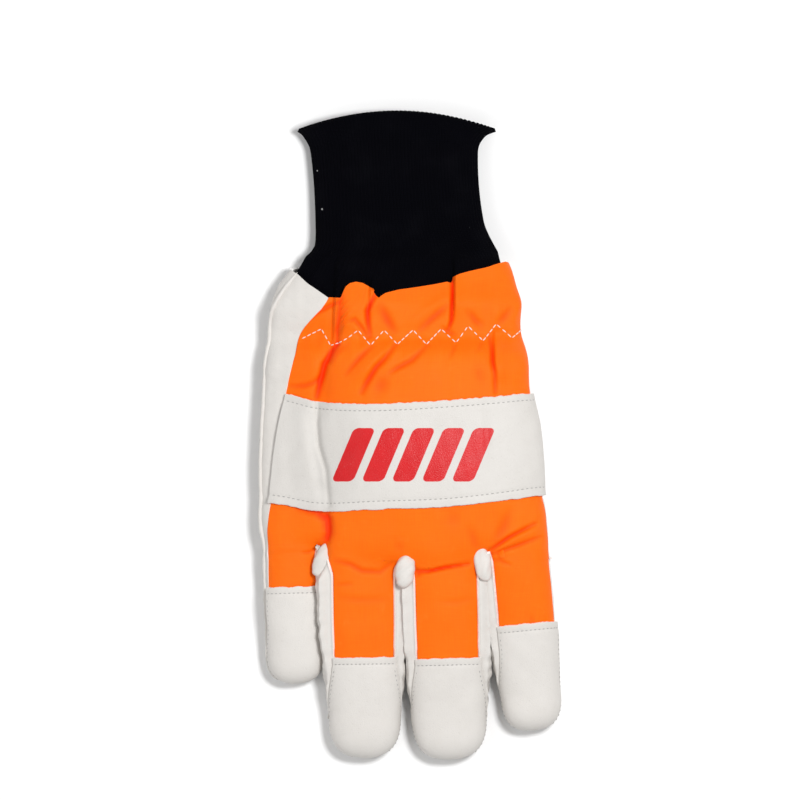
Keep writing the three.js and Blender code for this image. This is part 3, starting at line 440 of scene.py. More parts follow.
def around(length, flat, radius):
    """Walk round a section with a flat middle and two half round sides: offset across and turn from up."""
    bend, hand, far = np.pi * radius, np.where(length < 0, -1, 1), np.abs(length)
    cases = [far <= flat, far <= flat + bend, far <= 3 * flat + bend]
    offset = np.select(cases, [length, hand * flat, hand * (2 * flat + bend - far)], -hand * flat)
    turn = np.select(
        cases, [0 * far, hand * (far - flat) / radius, hand * np.pi + 0 * far],
        hand * (np.pi + (far - 3 * flat - bend) / radius),
    )
    return offset, turn


def whole_way(flat, radius):
    return 4 * flat + 2 * np.pi * radius


BODY_RADIUS = BODY_THICKNESS / 2


def body_flat(y):
    return (body_right(y) - body_left(y)) / 2 - BODY_RADIUS


def body_centre(y):
    return (body_right(y) + body_left(y)) / 2


def body_ray(y, length):
    offset, turn = around(length, body_flat(y), BODY_RADIUS)
    x = body_centre(y) + offset
    y = y + 0 * x
    return np.array([x, y, body_middle(x, y)]), np.array([np.sin(turn), 0 * x, np.cos(turn)])


def back_place(x, y):
    off = x - body_centre(y)
    past = np.abs(off) - body_flat(y)
    bent = np.sign(off) * (body_flat(y) + BODY_RADIUS * np.arcsin(np.clip(past / BODY_RADIUS, 0, 1)))
    return np.where(past <= 0, off, bent)


def palm_place(x, y):
    return -(x - body_centre(y) + 2 * body_flat(y) + np.pi * BODY_RADIUS)


def left_seam(y):
    return back_place(read(BODY, "station", y / BODY_LENGTH, "seam") * BODY_WIDTH, y)


def right_seam(y):
    return body_flat(y) + np.pi / 2 * BODY_RADIUS


def finger_flat(f, s):
    return np.maximum(0.5, f.half_width(s) - f.half_thick)


def finger_ray(f, s, length, apart):
    """A ray of a finger; past the start of its dome it tilts towards the tip."""
    tilt = np.clip((s - f.dome_start) / f.dome, 0, 1) * np.pi / 2
    station = np.minimum(s, f.dome_start)
    offset, turn = around(length, finger_flat(f, station), f.half_thick)
    x, y, z = f.axis(station)
    across = np.sin(turn) * np.cos(tilt)
    start = [
        x + f.side[0] * offset, y + f.side[1] * offset,
        z + apart * SEAM_GAP / 2 * np.sin(tilt) + 0 * offset,
    ]
    way = [
        f.side[0] * across + f.along[0] * np.sin(tilt), f.side[1] * across + f.along[1] * np.sin(tilt),
        np.cos(turn) * np.cos(tilt),
    ]
    return np.array(start), np.array(way)


def finger_seams(f, s):
    flat = finger_flat(f, np.minimum(s, f.dome_start))
    near = np.pi / 2 - SEAM_GAP / 2 / f.half_thick
    t = ease(SEAMS_TURN * f.reach, SEAMS_MEET * f.reach, s)
    place = lambda degrees, end: flat + f.half_thick * mix(math.radians(degrees), end, t)
    return dict(
        whole=whole_way(flat, f.half_thick), back=place(BACK_SEAM, near), little=place(LITTLE_SEAM, near),
        index=place(INDEX_SEAM, near), palm=place(PALM_SEAM, np.pi - near),
    )


def fork_x(k):
    return FORKS["across"][k] * BODY_WIDTH


def finger_share(s, f):
    return ease(-0.3 * FORK_SPAN, FORK_SPAN, s - f.root)


def leaned_ray(ray, past):
    lean = FORK_LEAN * ease(-1.2 * FORK_ROUND, 0, past)
    start, way = ray
    start, way = start.copy(), way.copy()
    start[1] += lean * 0.6 * BODY_RADIUS
    way[1] -= lean
    return start, unit(way)


def back_ray(k, s, across, y):
    """Ray of the back of finger k, and of the body above it; across runs from 0 on its left to 1."""
    f, gap = FINGER_LIST[k], SEAM_GAP / 2
    left = left_seam(y) + gap if k == 0 else back_place(fork_x(k) + FORK_HALF_WIDTH, y)
    right = right_seam(y) - gap if k == LAST else back_place(fork_x(k + 1) - FORK_HALF_WIDTH, y)
    seams = finger_seams(f, s)
    start = gap - seams["little"] if k == 0 else -seams["back"]
    end = seams["index"] - gap if k == LAST else seams["back"]
    return blend_rays(
        leaned_ray(body_ray(y, mix(left, right, across)), s - f.root),
        finger_ray(f, s, mix(start, end, across), 1), finger_share(s, f),
    )


def palm_ray(k, s, across, y):
    """The same for the palm side, still from the finger's left to its right, under the hand."""
    f, gap = FINGER_LIST[k], SEAM_GAP / 2
    left = left_seam(y) - gap if k == 0 else palm_place(fork_x(k) + FORK_HALF_WIDTH, y)
    right = (
        right_seam(y) + gap - whole_way(body_flat(y), BODY_RADIUS) if k == LAST
        else palm_place(fork_x(k + 1) - FORK_HALF_WIDTH, y)
    )
    seams = finger_seams(f, s)
    start = -seams["little"] - gap if k == 0 else -seams["palm"]
    end = (seams["index"] + gap if k == LAST else seams["palm"]) - seams["whole"]
    return blend_rays(
        leaned_ray(body_ray(y, mix(left, right, across)), s - f.root),
        finger_ray(f, s, mix(start, end, across), -1), finger_share(s, f),
    )


# Grids of points of each piece. A ray's place along an edge is found by turns, as each depends on the other.

FINDING_TURNS = 4


def strap_wrist(x):
    return read(STRAP, "across", x / BODY_WIDTH, "wrist") * BODY_LENGTH


def strap_finger(x):
    return read(STRAP, "across", x / BODY_WIDTH, "finger") * BODY_LENGTH


def seam_to_seam(c, y, height):
    """Rays of the body at places c from its left seam, 0, to its right one, 1; height gives y for each x."""
    place = lambda y: mix(left_seam(y) + SEAM_GAP / 2, right_seam(y) - SEAM_GAP / 2, c)
    y = 0 * c + y
    for _ in range(FINDING_TURNS):
        start, way = body_ray(y, place(y))
        y = height(start[0] + way[0] * BODY_RADIUS)
    return body_ray(y, place(y))


def across_back(edge_a, edge_b, rows, count):
    """Rays of the body between two edges across the back."""
    c, r = np.meshgrid(np.linspace(0, 1, count), np.linspace(0, 1, rows))
    return seam_to_seam(c, (edge_a(0.0) + edge_b(0.0)) / 2, lambda x: mix(edge_a(x), edge_b(x), r))


def comb_rays(ray, top, body_rows, finger_rows, columns, ends):
    """Rays of the body rows and of four fingers; the fingers share no cells with one another."""
    parts = []
    for k, f in enumerate(FINGER_LIST):
        c, r = np.meshgrid(columns[k], np.linspace(0, 1, body_rows))
        fork = fork_line(mix(fork_x(k) + FORK_HALF_WIDTH, fork_x(k + 1) - FORK_HALF_WIDTH, c))
        y = mix(BODY_LENGTH / 2, fork, r)
        for _ in range(FINDING_TURNS):
            start, way = ray(k, f.root + fork - y, c, y)
            y = mix(top(start[0] + way[0] * BODY_RADIUS, way[2] > 0), fork, r)
        body = ray(k, f.root + fork - y, c, y)
        c, s = np.meshgrid(columns[k], np.linspace(f.root, ends[k], finger_rows + 1)[1:])
        finger = ray(k, s, c, f.along[1] * s)
        parts.append([np.concatenate(pair, axis=1) for pair in zip(body, finger)])
    start, way = (np.concatenate([part[i] for part in parts], axis=2) for i in (0, 1))
    owner = np.repeat(range(len(FINGER_LIST)), [len(list_) for list_ in columns])
    keep = np.ones((body_rows + finger_rows - 1, len(owner) - 1), bool)
    keep[body_rows - 1:] = owner[:-1] == owner[1:]
    return (start, way), keep


def strip_rays(k, leg_rows, count):
    """Rays of the strip between fingers k and k + 1, up one side, round the fork and down the other,
    with the place across the strip (below 0 it laps onto the back), the station and the finger."""
    legs = []
    fork_y = FORKS["up"][k + 1] * BODY_LENGTH
    for n, edge in ((k, 1), (k + 1, 0)):
        f, hand = FINGER_LIST[n], 1 if edge else -1
        shares = np.linspace(0, 1, leg_rows) ** STRIP_CROWD
        lapped = np.linspace(-STRIP_LAP, 0, STRIP_LAP_COLUMNS + 1)[:-1]
        over = np.concatenate([lapped, np.linspace(0, 1, count - STRIP_LAP_COLUMNS)])
        c, s = np.meshgrid(over, mix(f.root, STRIP_END * f.reach, shares))
        lap = np.maximum(0, -c) * (1 - ease(f.cap_start - 5, f.cap_start, s))
        x = fork_x(k + 1) - hand * FORK_HALF_WIDTH
        y = np.where(s <= f.root, fork_line(x), f.along[1] * s)
        seams = finger_seams(f, s)
        side = finger_ray(f, s, hand * seams["whole"] / 4, 0)
        ones = np.ones(s.shape)
        root = (
            np.array([x * ones, (fork_y + FORK_UP) * ones, body_middle(x, fork_y) * ones]),
            np.array([0 * ones, -ones, 0 * ones]),
        )
        middle = blend_rays(root, side, ease(0, TURN_END, s - f.root))
        at_fork = 1 - ease(0, FORK_END, s - f.root)
        inset = STRIP_INSET + STRIP_INSET * at_fork
        inside = mix(inset / 2, 1 - inset / 2, np.maximum(c, 0))
        onto_back = back_ray(n, s, edge - hand * lap * STRIP_LAP_OUT, y)
        upper = blend_rays(onto_back, middle, np.clip(inside * 2, 0, 1))
        lower = blend_rays(middle, palm_ray(n, s, edge, y), np.clip(inside * 2 - 1, 0, 1))
        start, way = (np.where(inside < 0.5, a, b) for a, b in zip(upper, lower))
        start[1] += at_fork * FORK_LAP * np.clip(1 - (c + STRIP_LAP) / 0.25, 0, 1)
        order = slice(None, None, -1) if edge else slice(1, None)
        legs.append((start[:, order], way[:, order], c[order], s[order], np.full(c.shape, n)[order]))
    start, way = (np.concatenate([leg[i] for leg in legs], axis=1) for i in (0, 1))
    return (start, way), *(np.concatenate([leg[i] for leg in legs]) for i in (2, 3, 4))


def strip_points(k, leg_rows, count):
    """The strip stands over the edge of the cloth, and its two sides fill the gap between the fingers
    up to the middle of the gap, where they touch and never cross."""
    rays, c, s, n = strip_rays(k, leg_rows, count)
    a, b = FINGER_LIST[k], FINGER_LIST[k + 1]
    pick = lambda of_a, of_b: np.where(n == k, of_a, of_b)
    root, reach, cap = (pick(getattr(a, word), getattr(b, word)) for word in ("root", "reach", "cap_start"))

    def past_middle(p):
        of_a, of_b = finger_distance(a, *p), finger_distance(b, *p)
        return pick(of_a - of_b, of_b - of_a) / 2

    flat, way = meet(rays, 0, hand_distance), rays[1]
    side = ease(0, 0.13, c) * (1 - ease(0.8, 1, c))
    at_fork = 1 - ease(2, TURN_END, s - root)
    wish = side * mix(STRIP_FILL * (1 - 0.8 * ease(0.3, STRIP_END, s / reach)), FORK_FILL, at_fork)
    fill = np.zeros(s.shape)
    for _ in range(14):
        fill = np.clip(fill - STRIDE * past_middle(flat + way * fill), 0, wish)
    fill = mix(fill, wish * (1 - ease(0.55, 0.85, c)), at_fork)
    beside_cloth = 1 - ease(cap - 4, cap + 1, s)
    proud = mix(STRIP_OVER_CAP, LEATHER + STRIP_OVER_CLOTH, beside_cloth) * (1 - ease(0.02, 0.2, c))
    x, y, z = flat
    slant = pick(0.6, -0.6)
    wrinkles = 0.34 * ripples(x * 0.3, y + slant * z, 0 * z, 5.5, 81 + k)
    wrinkles += 0.12 * ripples(x, y, z, 3.4, 91 + k)
    points = flat + way * (fill + proud + (wrinkles - 0.1) * side)
    for _ in range(4):
        points[0] -= pick(1, -1) * np.clip(past_middle(points) + 0.02, 0, None)
    return points, way


def thumb_ray(s, half, across):
    flat = finger_flat(THUMB_TUBE, np.minimum(s, THUMB_TUBE.dome_start))
    quarter = flat + np.pi / 2 * THUMB_TUBE.half_thick - SEAM_GAP / 2
    whole = whole_way(flat, THUMB_TUBE.half_thick)
    length = (
        mix(-quarter, quarter, across) if half > 0
        else mix(-whole / 2 + quarter, -whole / 2 - quarter, across)
    )
    return finger_ray(THUMB_TUBE, s, length, half)


def thumb_rays(half, rows, count, clearance):
    """Each column starts where the sleeve comes clear of the palm."""
    step, body_share, tip_share = 0.25, 0.8, 0.2
    c, s = np.meshgrid(np.linspace(0, 1, count), np.arange(1, THUMB_TUBE.dome_start, step))
    points = meet(thumb_ray(s, half, c), 0, own_distance(THUMB_TUBE))
    covered = hand_distance(points) < clearance
    starts = np.where(covered, s, 0).max(axis=0) + step
    c, r = np.meshgrid(np.linspace(0, 1, count), np.linspace(0, 1, rows))
    end = np.clip((r - body_share) / tip_share, 0, 1)
    body = mix(starts[None, :], THUMB_TUBE.dome_start, np.clip(r / body_share, 0, 1))
    return thumb_ray(body + end * THUMB_TUBE.dome, half, c)


def cuff_points(rises, count, inset):
    """Points of the cuff, ring by ring, at heights above the wrist seam."""
    t, above = np.meshgrid(np.linspace(0, 1, count + 1)[:-1], rises)
    y = BODY_LENGTH + above
    rise = above / CUFF_LENGTH
    own = ease(CUFF_FREE_START, CUFF_FREE_END, rise)
    turn = lambda flat, radius: (t - 0.5) * whole_way(flat, radius)
    level = -(CLOTH + CUFF_DEPTH) - inset
    inside = meet(body_ray(y, turn(body_flat(y), BODY_RADIUS)), level, hand_distance)
    inside[2] = np.maximum(inside[2], LEATHER + SEAM_GAP + inset)
    left, right, thick, sag = (read(CUFF, "rise", rise, name) for name in "left right thick sag".split())
    radius = thick * CUFF_THICKNESS / 2
    flat = (right - left) * CUFF_WIDTH / 2 - radius
    offset, angle = around(turn(flat, radius), flat, radius)
    x = offset + np.sin(angle) * (radius - inset)
    drop = sag * CUFF_LENGTH * (x / (flat + radius)) ** 2
    middle = (left + right) * CUFF_WIDTH / 2
    free = np.array([middle + x, y - drop, radius + np.cos(angle) * (radius - inset)])
    return mix(inside, free, own)


# Making a piece from a grid of points.


def deselect():
    if bpy.context.object and bpy.context.object.mode != "OBJECT":
        bpy.ops.object.mode_set(mode="OBJECT")
    bpy.ops.object.select_all(action="DESELECT")


def apply(piece, kind, **settings):
    modifier = piece.modifiers.new(kind.title(), kind)
    for name, value in settings.items():
        setattr(modifier, name, value)
    bpy.ops.object.modifier_apply(modifier=modifier.name)


def arc_lengths(points, axis):
    steps = np.sqrt((np.diff(points, axis=axis + 1) ** 2).sum(axis=0))
    pad = [(0, 0), (0, 0)]
    pad[axis] = (1, 0)
    return np.pad(np.cumsum(steps, axis=axis), pad)


def edit(*operators):
    """Runs operators in edit mode, each given with its settings."""
    bpy.ops.object.mode_set(mode="EDIT")
    for operator, settings in operators:
        operator(**settings)
    bpy.ops.object.mode_set(mode="OBJECT")


def place_vertices(piece, points):
    places = (points.reshape(3, -1) - ORIGIN[:, None]) / 1000
    piece.data.vertices.foreach_set("co", places.T.ravel())


def cell_crosses(points):
    """The cross product of two sides of each cell, which holds its area and faces out or in."""
    down, over = points[:, 1:, :-1] - points[:, :-1, :-1], points[:, :-1, 1:] - points[:, :-1, :-1]
    return np.cross(over, down, axis=0)


def grid_piece(name, points, way, keep=None, floor=None, close=False, fold_shade=None):
    """A grid whose vertices are moved onto points, its faces turned outwards; its UV map is in metres.
    Painted fold shade, when given, becomes the attribute that the materials read to paint shade in folds."""
    if floor is not None:
        points[2] = np.maximum(points[2], floor)
    rows, count = points.shape[1:]
    if (cell_crosses(points) * way[:, :-1, :-1]).sum() < 0:
        points, way = points[:, ::-1], way[:, ::-1]
        keep = None if keep is None else keep[::-1]
        fold_shade = None if fold_shade is None else fold_shade[::-1]
    across, along = arc_lengths(points, 1), arc_lengths(points, 0)
    across = across - across[:, count // 2:count // 2 + 1]
    along = along - along[rows // 2:rows // 2 + 1] + (points[1, rows // 2] - points[1, rows // 2].mean())
    deselect()
    bpy.ops.mesh.primitive_grid_add(x_subdivisions=count - 1, y_subdivisions=rows - 1, size=1)
    piece = bpy.context.object
    piece.name = piece.data.name = name
    place_vertices(piece, points)
    mesh = piece.data
    corner = np.empty(len(mesh.loops), np.int64)
    mesh.loops.foreach_get("vertex_index", corner)
    uv = np.stack([across.ravel()[corner], along.ravel()[corner]], axis=1) / 1000
    mesh.uv_layers[0].data.foreach_set("uv", uv.ravel())
    if fold_shade is not None:
        mesh.attributes.new("fold", "FLOAT", "POINT").data.foreach_set("value", fold_shade.ravel())
    if keep is not None:
        first = corner.reshape(-1, 4).min(axis=1)
        edit((bpy.ops.mesh.select_mode, {"type": "FACE"}), (bpy.ops.mesh.select_all, {"action": "DESELECT"}))
        mesh.polygons.foreach_set("select", ~keep[first // count, first % count])
        edit((bpy.ops.mesh.delete, {"type": "FACE"}))
    if close:
        merge = (bpy.ops.mesh.remove_doubles, {"threshold": 0.00002})
        edit((bpy.ops.mesh.select_all, {"action": "SELECT"}), merge)
    return piece


def give_wall(piece, thick, round_off, rim=0):
    """A wall inwards from the grid, with its raw edges rounded."""
    apply(
        piece, "SOLIDIFY", thickness=thick / 1000, offset=-1, material_offset_rim=rim,
        use_even_offset=False,
    )
    apply(
        piece, "BEVEL", width=round_off / 1000, segments=2, limit_method="ANGLE",
        angle_limit=math.radians(58), use_clamp_overlap=True, loop_slide=False,
    )
    bpy.ops.object.shade_smooth_by_angle(angle=math.radians(50))


def finish_piece(piece, slot, *nodes):
    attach(piece, "root")
    if nodes:
        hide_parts(*nodes)


# Materials. Shade wraps a socket that carries a number; Finish makes the nodes of one material.


class Shade:
    def __init__(self, finish, socket):
        self.finish, self.socket = finish, socket

    def math(self, operation, *values):
        return self.finish.number("Math", {"operation": operation}, dict(enumerate(values)))

    def __add__(self, other):
        return self.math("ADD", self, other)

    def __sub__(self, other):
        return self.math("SUBTRACT", self, other)

    def __rsub__(self, other):
        return self.math("SUBTRACT", other, self)

    def __mul__(self, other):
        return self.math("MULTIPLY", self, other)

    def __truediv__(self, other):
        return self.math("DIVIDE", self, other)

    def __rtruediv__(self, other):
        return self.math("DIVIDE", other, self)

    def __pow__(self, other):
        return self.math("POWER", self, other)

    def __abs__(self):
        return self.math("ABSOLUTE", self)

    __radd__, __rmul__ = __add__, __mul__

    def sine(self):
        return self.math("SINE", self)

    def most(self, other):
        return self.math("MAXIMUM", self, other)

    def fraction(self):
        return self.math("FRACT", self)

    def rise(self, low, high):
        """0 below low, 1 above high, smooth between; low may be the larger."""
        settings = {"interpolation_type": "SMOOTHSTEP", "clamp": True}
        inputs = {"Value": self, "From Min": low, "From Max": high, "To Min": 0, "To Max": 1}
        return self.finish.number("MapRange", settings, inputs)


def bare(value):
    """The socket of a Shade, and anything else as it is."""
    return value.socket if isinstance(value, Shade) else value


class Finish:
    """One material, with its shader and its way to add nodes."""

    def __init__(self, name, **uniform):
        self.material = bpy.data.materials.new(name)
        self.material.use_nodes = True
        self.tree = self.material.node_tree
        self.shader = self.tree.nodes["Principled BSDF"]
        for socket, value in uniform.items():
            self.shader.inputs[socket.replace("_", " ")].default_value = value

    def node(self, kind, settings, inputs):
        made = self.tree.nodes.new(f"ShaderNode{kind}")
        for name, value in settings.items():
            setattr(made, name, value)
        for name, value in inputs.items():
            if isinstance(bare(value), bpy.types.NodeSocket):
                self.tree.links.new(bare(value), made.inputs[name])
            else:
                made.inputs[name].default_value = value
        return made

    def number(self, kind, settings, inputs, output=0):
        return Shade(self, self.node(kind, settings, inputs).outputs[output])

    def colour(self, a, b, share):
        """A mix of two colours, by share from a to b."""
        a, b = (v if isinstance(v, bpy.types.NodeSocket) else (*v, 1) for v in (a, b))
        return self.node("Mix", {"data_type": "RGBA"}, {"Factor": share, 6: a, 7: b}).outputs[2]

    def place(self, along_cloth=False):
        """Millimetres over the piece: its own UV map, or Object coordinates."""
        source = self.node("TexCoord", {}, {}).outputs["UV" if along_cloth else "Object"]
        return self.node("VectorMath", {"operation": "SCALE"}, {0: source, "Scale": 1000}).outputs[0]

    def parts(self, vector):
        made = self.node("SeparateXYZ", {}, {0: vector})
        return [Shade(self, socket) for socket in made.outputs]

    def fold(self):
        """Painted fold shade, from 0 to 1: how deep in a fold the surface lies, from the piece's own
        attribute.
        """
        return self.number("Attribute", {"attribute_name": "fold"}, {}, "Fac")

    def noise(self, vector, size, detail=2.0, rough=0.5):
        """Noise from 0 to 1 with features of a size in millimetres."""
        inputs = {"Vector": vector, "Scale": 1 / size, "Detail": detail, "Roughness": rough}
        return self.number("TexNoise", {}, inputs)

    def cells(self, vector, size, feature="F1"):
        """Distance in a pattern of cells of a size in millimetres."""
        return self.number("TexVoronoi", {"feature": feature}, {"Vector": vector, "Scale": 1 / size})

    def stretch(self, vector, factors):
        return self.node("VectorMath", {"operation": "MULTIPLY"}, {0: vector, 1: factors}).outputs[0]

    def feed(self, **sockets):
        for name, value in sockets.items():
            self.tree.links.new(bare(value), self.shader.inputs[name.replace("_", " ")])

    def relief(self, height, distance, strength):
        """Bump of a height in millimetres."""
        inputs = {"Height": height, "Distance": distance / 1000, "Strength": strength}
        self.feed(Normal=self.node("Bump", {}, inputs).outputs[0])


def cloth_finish():
    """Fluorescent cloth: plain weave of fine yarns, uneven from yarn to yarn, with a faint painted glow."""
    made = Finish(
        "fluorescent_orange_cloth", Specular_IOR_Level=0.16,
        Emission_Color=(1.0, 0.12, 0.0, 1), Emission_Strength=0.05,
    )
    at = made.place(along_cloth=True)
    u, v, _ = made.parts(at)
    yarn = 0.42
    over, under = (u * (math.pi / yarn)).sine(), (v * (math.pi / yarn)).sine()
    turn = (over * under * 3).rise(-1, 1)
    weave = abs(over) * turn + abs(under) * (1 - turn)
    slub = made.noise(made.stretch(at, (2.2, 0.09, 1)), 1) + made.noise(made.stretch(at, (0.09, 2.2, 1)), 1)
    cloudy = made.noise(made.place(), 26, 3)
    worn = made.noise(made.place(), 7, 4, 0.6)
    shade = made.colour((0.95, 0.135, 0.0), (1.0, 0.19, 0.001), (slub - 0.6) * 0.6 + (cloudy - 0.2) * 0.5)
    shade = made.colour(shade, (0.74, 0.07, 0.001), (1 - weave) * 0.22)
    shade = made.colour(shade, (1.0, 0.21, 0.02), worn.rise(0.6, 0.78) * 0.3)
    # Painted shade: the bottoms of folds are darkened towards deep red by the fold attribute.
    shade = made.colour(shade, (0.95, 0.01, 0.0), made.fold() * 0.8)
    made.feed(Base_Color=shade, Roughness=0.5 + worn * 0.18 - weave * 0.06)
    made.relief(weave + slub * 0.35, 0.07, 0.8)
    return made.material


def leather_finish(name, base, dark):
    """Grain leather: pores and fine creases over slow clouds of colour."""
    made = Finish(name, Specular_IOR_Level=0.32)
    at = made.place()
    cloudy = made.noise(at, 30, 3)
    mottle = made.noise(at, 5, 4, 0.62)
    grain = 0.75
    cells, walls = made.cells(at, grain), made.cells(at, grain, "DISTANCE_TO_EDGE")
    pores = made.cells(at, 1.9)
    creases = made.noise(made.stretch(at, (1, 0.35, 1)), 1.7, 5, 0.7)
    soil = (mottle * 0.6 + cloudy * 0.7 - 0.35).rise(0.1, 0.75)
    shade = made.colour(base, dark, soil * 0.55)
    shade = made.colour(shade, (0.48, 0.45, 0.41), pores.rise(0.17, 0.05) * 0.25)
    shade = made.colour(shade, (0.55, 0.52, 0.48), walls.rise(0.09, 0.0) * 0.14)
    # Painted shade in the bottoms of folds; of the leather pieces only the strap carries fold depths.
    shade = made.colour(shade, (0.42, 0.4, 0.37), made.fold() * 0.4)
    made.feed(Base_Color=shade, Roughness=0.52 + mottle * 0.2 + soil * 0.08)
    height = walls.rise(0, 0.28) * 0.35 + creases * 0.9 - pores.rise(0.3, 0.08) * 0.5 - cells * 0.15
    made.relief(height, 0.11, 0.75)
    return made


def edge_finish():
    """The cut edge of the leather: pale, fibrous, rough."""
    made = Finish("raw_leather_edge", Sheen_Weight=0.2)
    at = made.place()
    fibres = made.noise(at, 0.5, 4, 0.7)
    patches = made.noise(at, 2.6, 2)
    made.feed(
        Base_Color=made.colour((0.93, 0.92, 0.9), (0.72, 0.69, 0.64), fibres.rise(0.42, 0.75) * 0.7),
        Roughness=0.86 + patches * 0.12,
    )
    made.relief(fibres + patches * 0.6, 0.22, 0.9)
    return made.material


def knit_finish():
    """Black rib knit: small slanted stitches up each rib, lint here and there."""
    made = Finish("black_rib_knit", Specular_IOR_Level=0.04)
    at = made.place(along_cloth=True)
    u, v, _ = made.parts(at)
    wale, row = 0.83, 0.95
    beside = abs((u / wale).fraction() - 0.5) * 2
    course = ((v / row + beside * 0.55).fraction() * (2 * math.pi)).sine() * 0.5 + 0.5
    yarn = course ** 0.7 * (1 - beside ** 4)
    fuzz = made.noise(at, 0.3, 3, 0.7)
    cloudy = made.noise(made.place(), 14, 3)
    spots = made.cells(made.place(), 9)
    lint = spots.rise(0.055, 0.035) * made.noise(made.place(), 11, 1).rise(0.5, 0.56)
    shade = made.colour((0.0006, 0.0006, 0.0014), (0.0022, 0.0022, 0.0042), yarn * 0.8 + fuzz * 0.3 - 0.1)
    shade = made.colour(shade, (0.004, 0.004, 0.006), cloudy.rise(0.45, 0.8) * 0.4)
    shade = made.colour(shade, (0.45, 0.45, 0.45), lint * 0.8)
    made.feed(Base_Color=shade, Roughness=0.84 + fuzz * 0.14)
    made.relief(yarn + fuzz * 0.3, 0.2, 0.8)
    return made.material


def thread_finish(name, base, dark):
    """Sewing thread, twisted from plies."""
    made = Finish(name, Sheen_Weight=0.2)
    at = made.place()
    x, y, z = made.parts(at)
    plies = ((x + y * 0.8 + z) * (2 * math.pi / 0.34)).sine() * 0.5 + 0.5
    fuzz = made.noise(at, 0.4, 3, 0.6)
    made.feed(Base_Color=made.colour(dark, base, plies * 0.7 + fuzz * 0.4), Roughness=0.7 + fuzz * 0.2)
    made.relief(plies, 0.06, 0.7)
    return made.material


# The print on the knuckle strap: slanted bars, given by the middle of each and their half sizes.
PRINT_MIDDLE, PRINT_BARS, PRINT_PITCH = (1.5, -8.6), 5, 13.2
PRINT_HALF_WIDTH, PRINT_HALF_HEIGHT, PRINT_ROUND, PRINT_SLANT = 4.4, 11.8, 2.2, 0.42


def printed_leather_finish(base, dark):
    """The strap's leather with red bars of thin, glossier ink, rubbed here and there."""
    made = leather_finish("printed_strap_leather", base, dark)
    at = made.place()
    x, y, z = made.parts(at)
    wobble = (made.noise(at, 1.2, 3) - 0.5) * 0.22
    down = y - PRINT_MIDDLE[1]
    from_end = (x - PRINT_MIDDLE[0] - down * PRINT_SLANT) / PRINT_PITCH + PRINT_BARS / 2
    beside = abs(from_end.fraction() - 0.5) * PRINT_PITCH * math.cos(math.atan(PRINT_SLANT))
    inside = from_end.rise(0, 0.001) * from_end.rise(PRINT_BARS, PRINT_BARS - 0.001)
    a = (beside - (PRINT_HALF_WIDTH - PRINT_ROUND)).most(0)
    b = (abs(down) - (PRINT_HALF_HEIGHT - PRINT_ROUND)).most(0)
    far = (a * a + b * b) ** 0.5 - PRINT_ROUND + wobble
    ink = far.rise(0.12, -0.12) * inside * z.rise(24, 26)
    worn = made.noise(at, 1.1, 5, 0.7).rise(0.62, 0.74) * made.noise(at, 9, 2).rise(0.45, 0.7)
    ink = ink * (1 - worn * 0.5)
    shade = made.shader.inputs["Base Color"].links[0].from_socket
    rough = Shade(made, made.shader.inputs["Roughness"].links[0].from_socket)
    red = made.colour((0.66, 0.006, 0.01), (0.55, 0.004, 0.007), made.noise(at, 6, 3))
    made.feed(Base_Color=made.colour(shade, red, ink), Roughness=rough * (1 - ink) + ink * 0.4)
    return made.material


def floor_finish():
    made = Finish("pale_floor", Roughness=0.9)
    cloudy = made.noise(made.place(), 60, 2)
    made.feed(Base_Color=made.colour((0.93, 0.93, 0.93), (0.95, 0.95, 0.95), cloudy))
    return made.material


CLOTH_ORANGE = cloth_finish()
LEATHER_GRAIN = leather_finish("off_white_leather", (0.7, 0.672, 0.638), (0.62, 0.588, 0.55)).material
LEATHER_PRINTED = printed_leather_finish((0.665, 0.64, 0.608), (0.59, 0.56, 0.524))
LEATHER_EDGE = edge_finish()
KNIT_BLACK = knit_finish()
THREAD_WHITE = thread_finish("elastic_thread", (0.95, 0.86, 0.78), (0.7, 0.55, 0.45))
THREAD_GREY = thread_finish("seam_thread", (0.5, 0.49, 0.47), (0.3, 0.29, 0.28))


# Relief of the cloth, the strap and the palm: unevenness, folds, and the dents that stitches pull.

# Among these, the fold depth in millimetres whose painted shade is full.
CLOTH_FOLD_SHARE, STRAP_DENT, CAP_DENT, FULL_SHADE_DEPTH, EDGE_WANDER = 0.95, 0.22, 0.2, 1.8, 0.16
STRAP_SEAMS = (strap_wrist, -STRAP_STITCH_TOP), (strap_finger, STRAP_STITCH_BOTTOM)


def cloth_relief(x, y):
    gathered = bell(y / BODY_LENGTH - ELASTIC_UP, PUFF_HALF)
    uneven = 0.16 * ripples(x, y, 0 * x, 22, 3) + 0.1 * ripples(x, 0.45 * y, 0 * x, 9, 5)
    gathers = gathered * 0.34 * ripples(x, 0.3 * y, 0 * x, 5, 8)
    return uneven + gathers - CLOTH_FOLD_SHARE * folds_depth(x, y, FOLDS)


def strap_relief(x, y):
    sewn = sum(bell(y - edge(x) - inset, STITCH_DENT_HALF) for edge, inset in STRAP_SEAMS)
    uneven = 0.12 * ripples(x, y, 0 * x, 30, 11) + 0.07 * ripples(x, y, 0 * x, 9, 13)
    return uneven - STRAP_DENT * sewn - folds_depth(x, y, STRAP_FOLDS)


def on_cloth(p):
    return hand_distance(p, cloth_relief)


def on_strap(p):
    return hand_distance(p, strap_relief)


def on_palm(p):
    return hand_distance(p) - 0.18 * ripples(*p, 16, 41) - 0.08 * ripples(*p, 5, 43)


def on_thumb(p):
    return finger_distance(THUMB_TUBE, *p) - 0.1 * ripples(*p, 12, 71)


